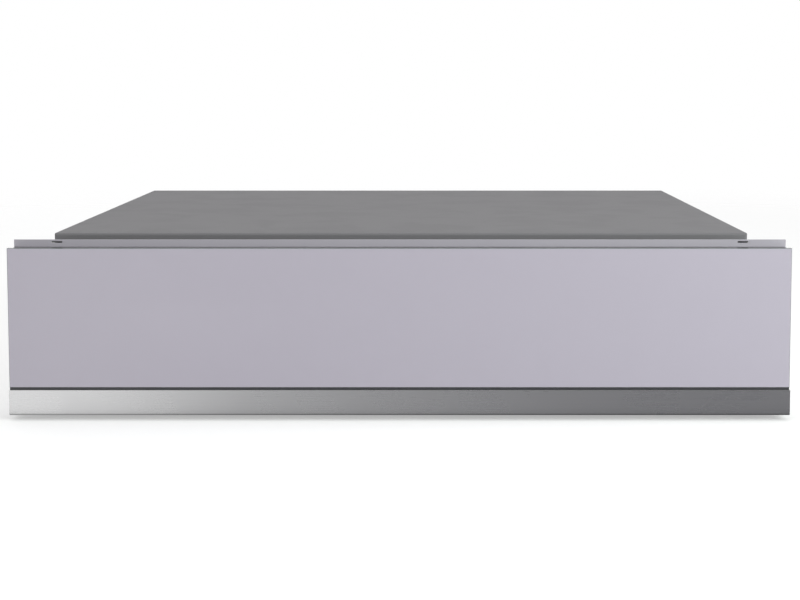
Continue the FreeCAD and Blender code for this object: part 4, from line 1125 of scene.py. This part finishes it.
build = bmesh.new()
seven_segments(build, -13, 0, "abgcd")
seven_segments(build, 13, 0, "abged")
bar(build, 0, 0, 0.4, 9.0)
make_piece("display_digits", build, display_glow, "drawer")

# %% [markdown]
# ### Release tape
#
# A woven tape with a slippery coat covers the heating band, so that the hot foil lets go. It is one
# strip bent over the bar, a tenth of a millimetre thick, with its two edges glued to the flanks.
# Its weave is two crossed sine waves, which are the threads of the cloth.

# %% Tape over the sealing bar
tape, tree, shader = start_material("release_tape", Coat_Weight=0.25, Coat_Roughness=0.3)
thread_pitch = 0.9 * mm
threads = math.tau / thread_pitch
along = split(tree, object_place(tree))
warp = math_node(tree, "SINE", math_node(tree, "MULTIPLY", along["X"], threads))
weft = math_node(tree, "SINE", math_node(tree, "MULTIPLY", along["Y"], threads))
crossed = math_node(tree, "MULTIPLY", warp, weft)
weave = node(tree, "Math", {"operation": "MULTIPLY_ADD"}, _0=crossed, _1=0.5, _2=0.5)
edges, hands = surface(tree, edge=0.0002, wear=0.2, dust=0.05)
brown = tint(tree, weave, (0.290, 0.215, 0.140), (0.400, 0.305, 0.205))
smudged = tint(tree, spread(tree, hands["Smudge"], 0.0, 0.3), brown, (0.315, 0.225, 0.150))
connect(tree, shader, smudged, spread(tree, weave, 0.34, 0.48),
        edges, weave, strength=0.5, depth=0.0002)

band_low, band_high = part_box("heating_band")
tape_gap = 0.02 * mm
tape_thick = 0.08 * mm
tape_drop = 7.0 * mm
tape_half = bar_high.x - 3.0 * mm
corner_drop = 0.4 * mm
corner_run = 0.5 * mm
band_ramp = 0.6 * mm


def tape_section(off):
    """Line over the bar, lifted off it by a distance, from the front flank to the rear one."""
    flank_low, flank_high = bar_low.y - off, bar_high.y + off
    band_front, band_rear = band_low.y - off, band_high.y + off
    top, band_top = bar_high.z + off, band_high.z + off
    return [(flank_low, bar_high.z - tape_drop), (flank_low, bar_high.z - corner_drop),
            (flank_low + corner_run, top), (band_front - band_ramp, top),
            (band_front, band_top), (band_rear, band_top),
            (band_rear + band_ramp, top), (flank_high - corner_run, top),
            (flank_high, bar_high.z - corner_drop), (flank_high, bar_high.z - tape_drop)]


outline = tape_section(tape_gap + tape_thick) + tape_section(tape_gap)[::-1]
build = bmesh.new()
ends = [[build.verts.new((x, y, z)) for y, z in outline] for x in (-tape_half, tape_half)]
join_rings(build, ends, smooth=False)
build.faces.new(ends[0])
build.faces.new(ends[1][::-1])
make_piece("release_tape", build, tape, "sealing_bar")

# %% [markdown]
# ## Check and finish
#
# Every solid needs a finish, so a solid that still has the material it was loaded with is named here.
# The two boxes show how far anything added stands out beyond the solids.

# %% Write the sizes
bare = [name for name, solid in nodes.items() if solid.data.materials[0].name == name]
print("solids without a finish:", bare)
visual_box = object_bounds()
growth = [round((b - a) / mm, 2) for m, n in zip(cad_box, visual_box) for a, b in zip(m, n)]
print("growth in mm", growth)
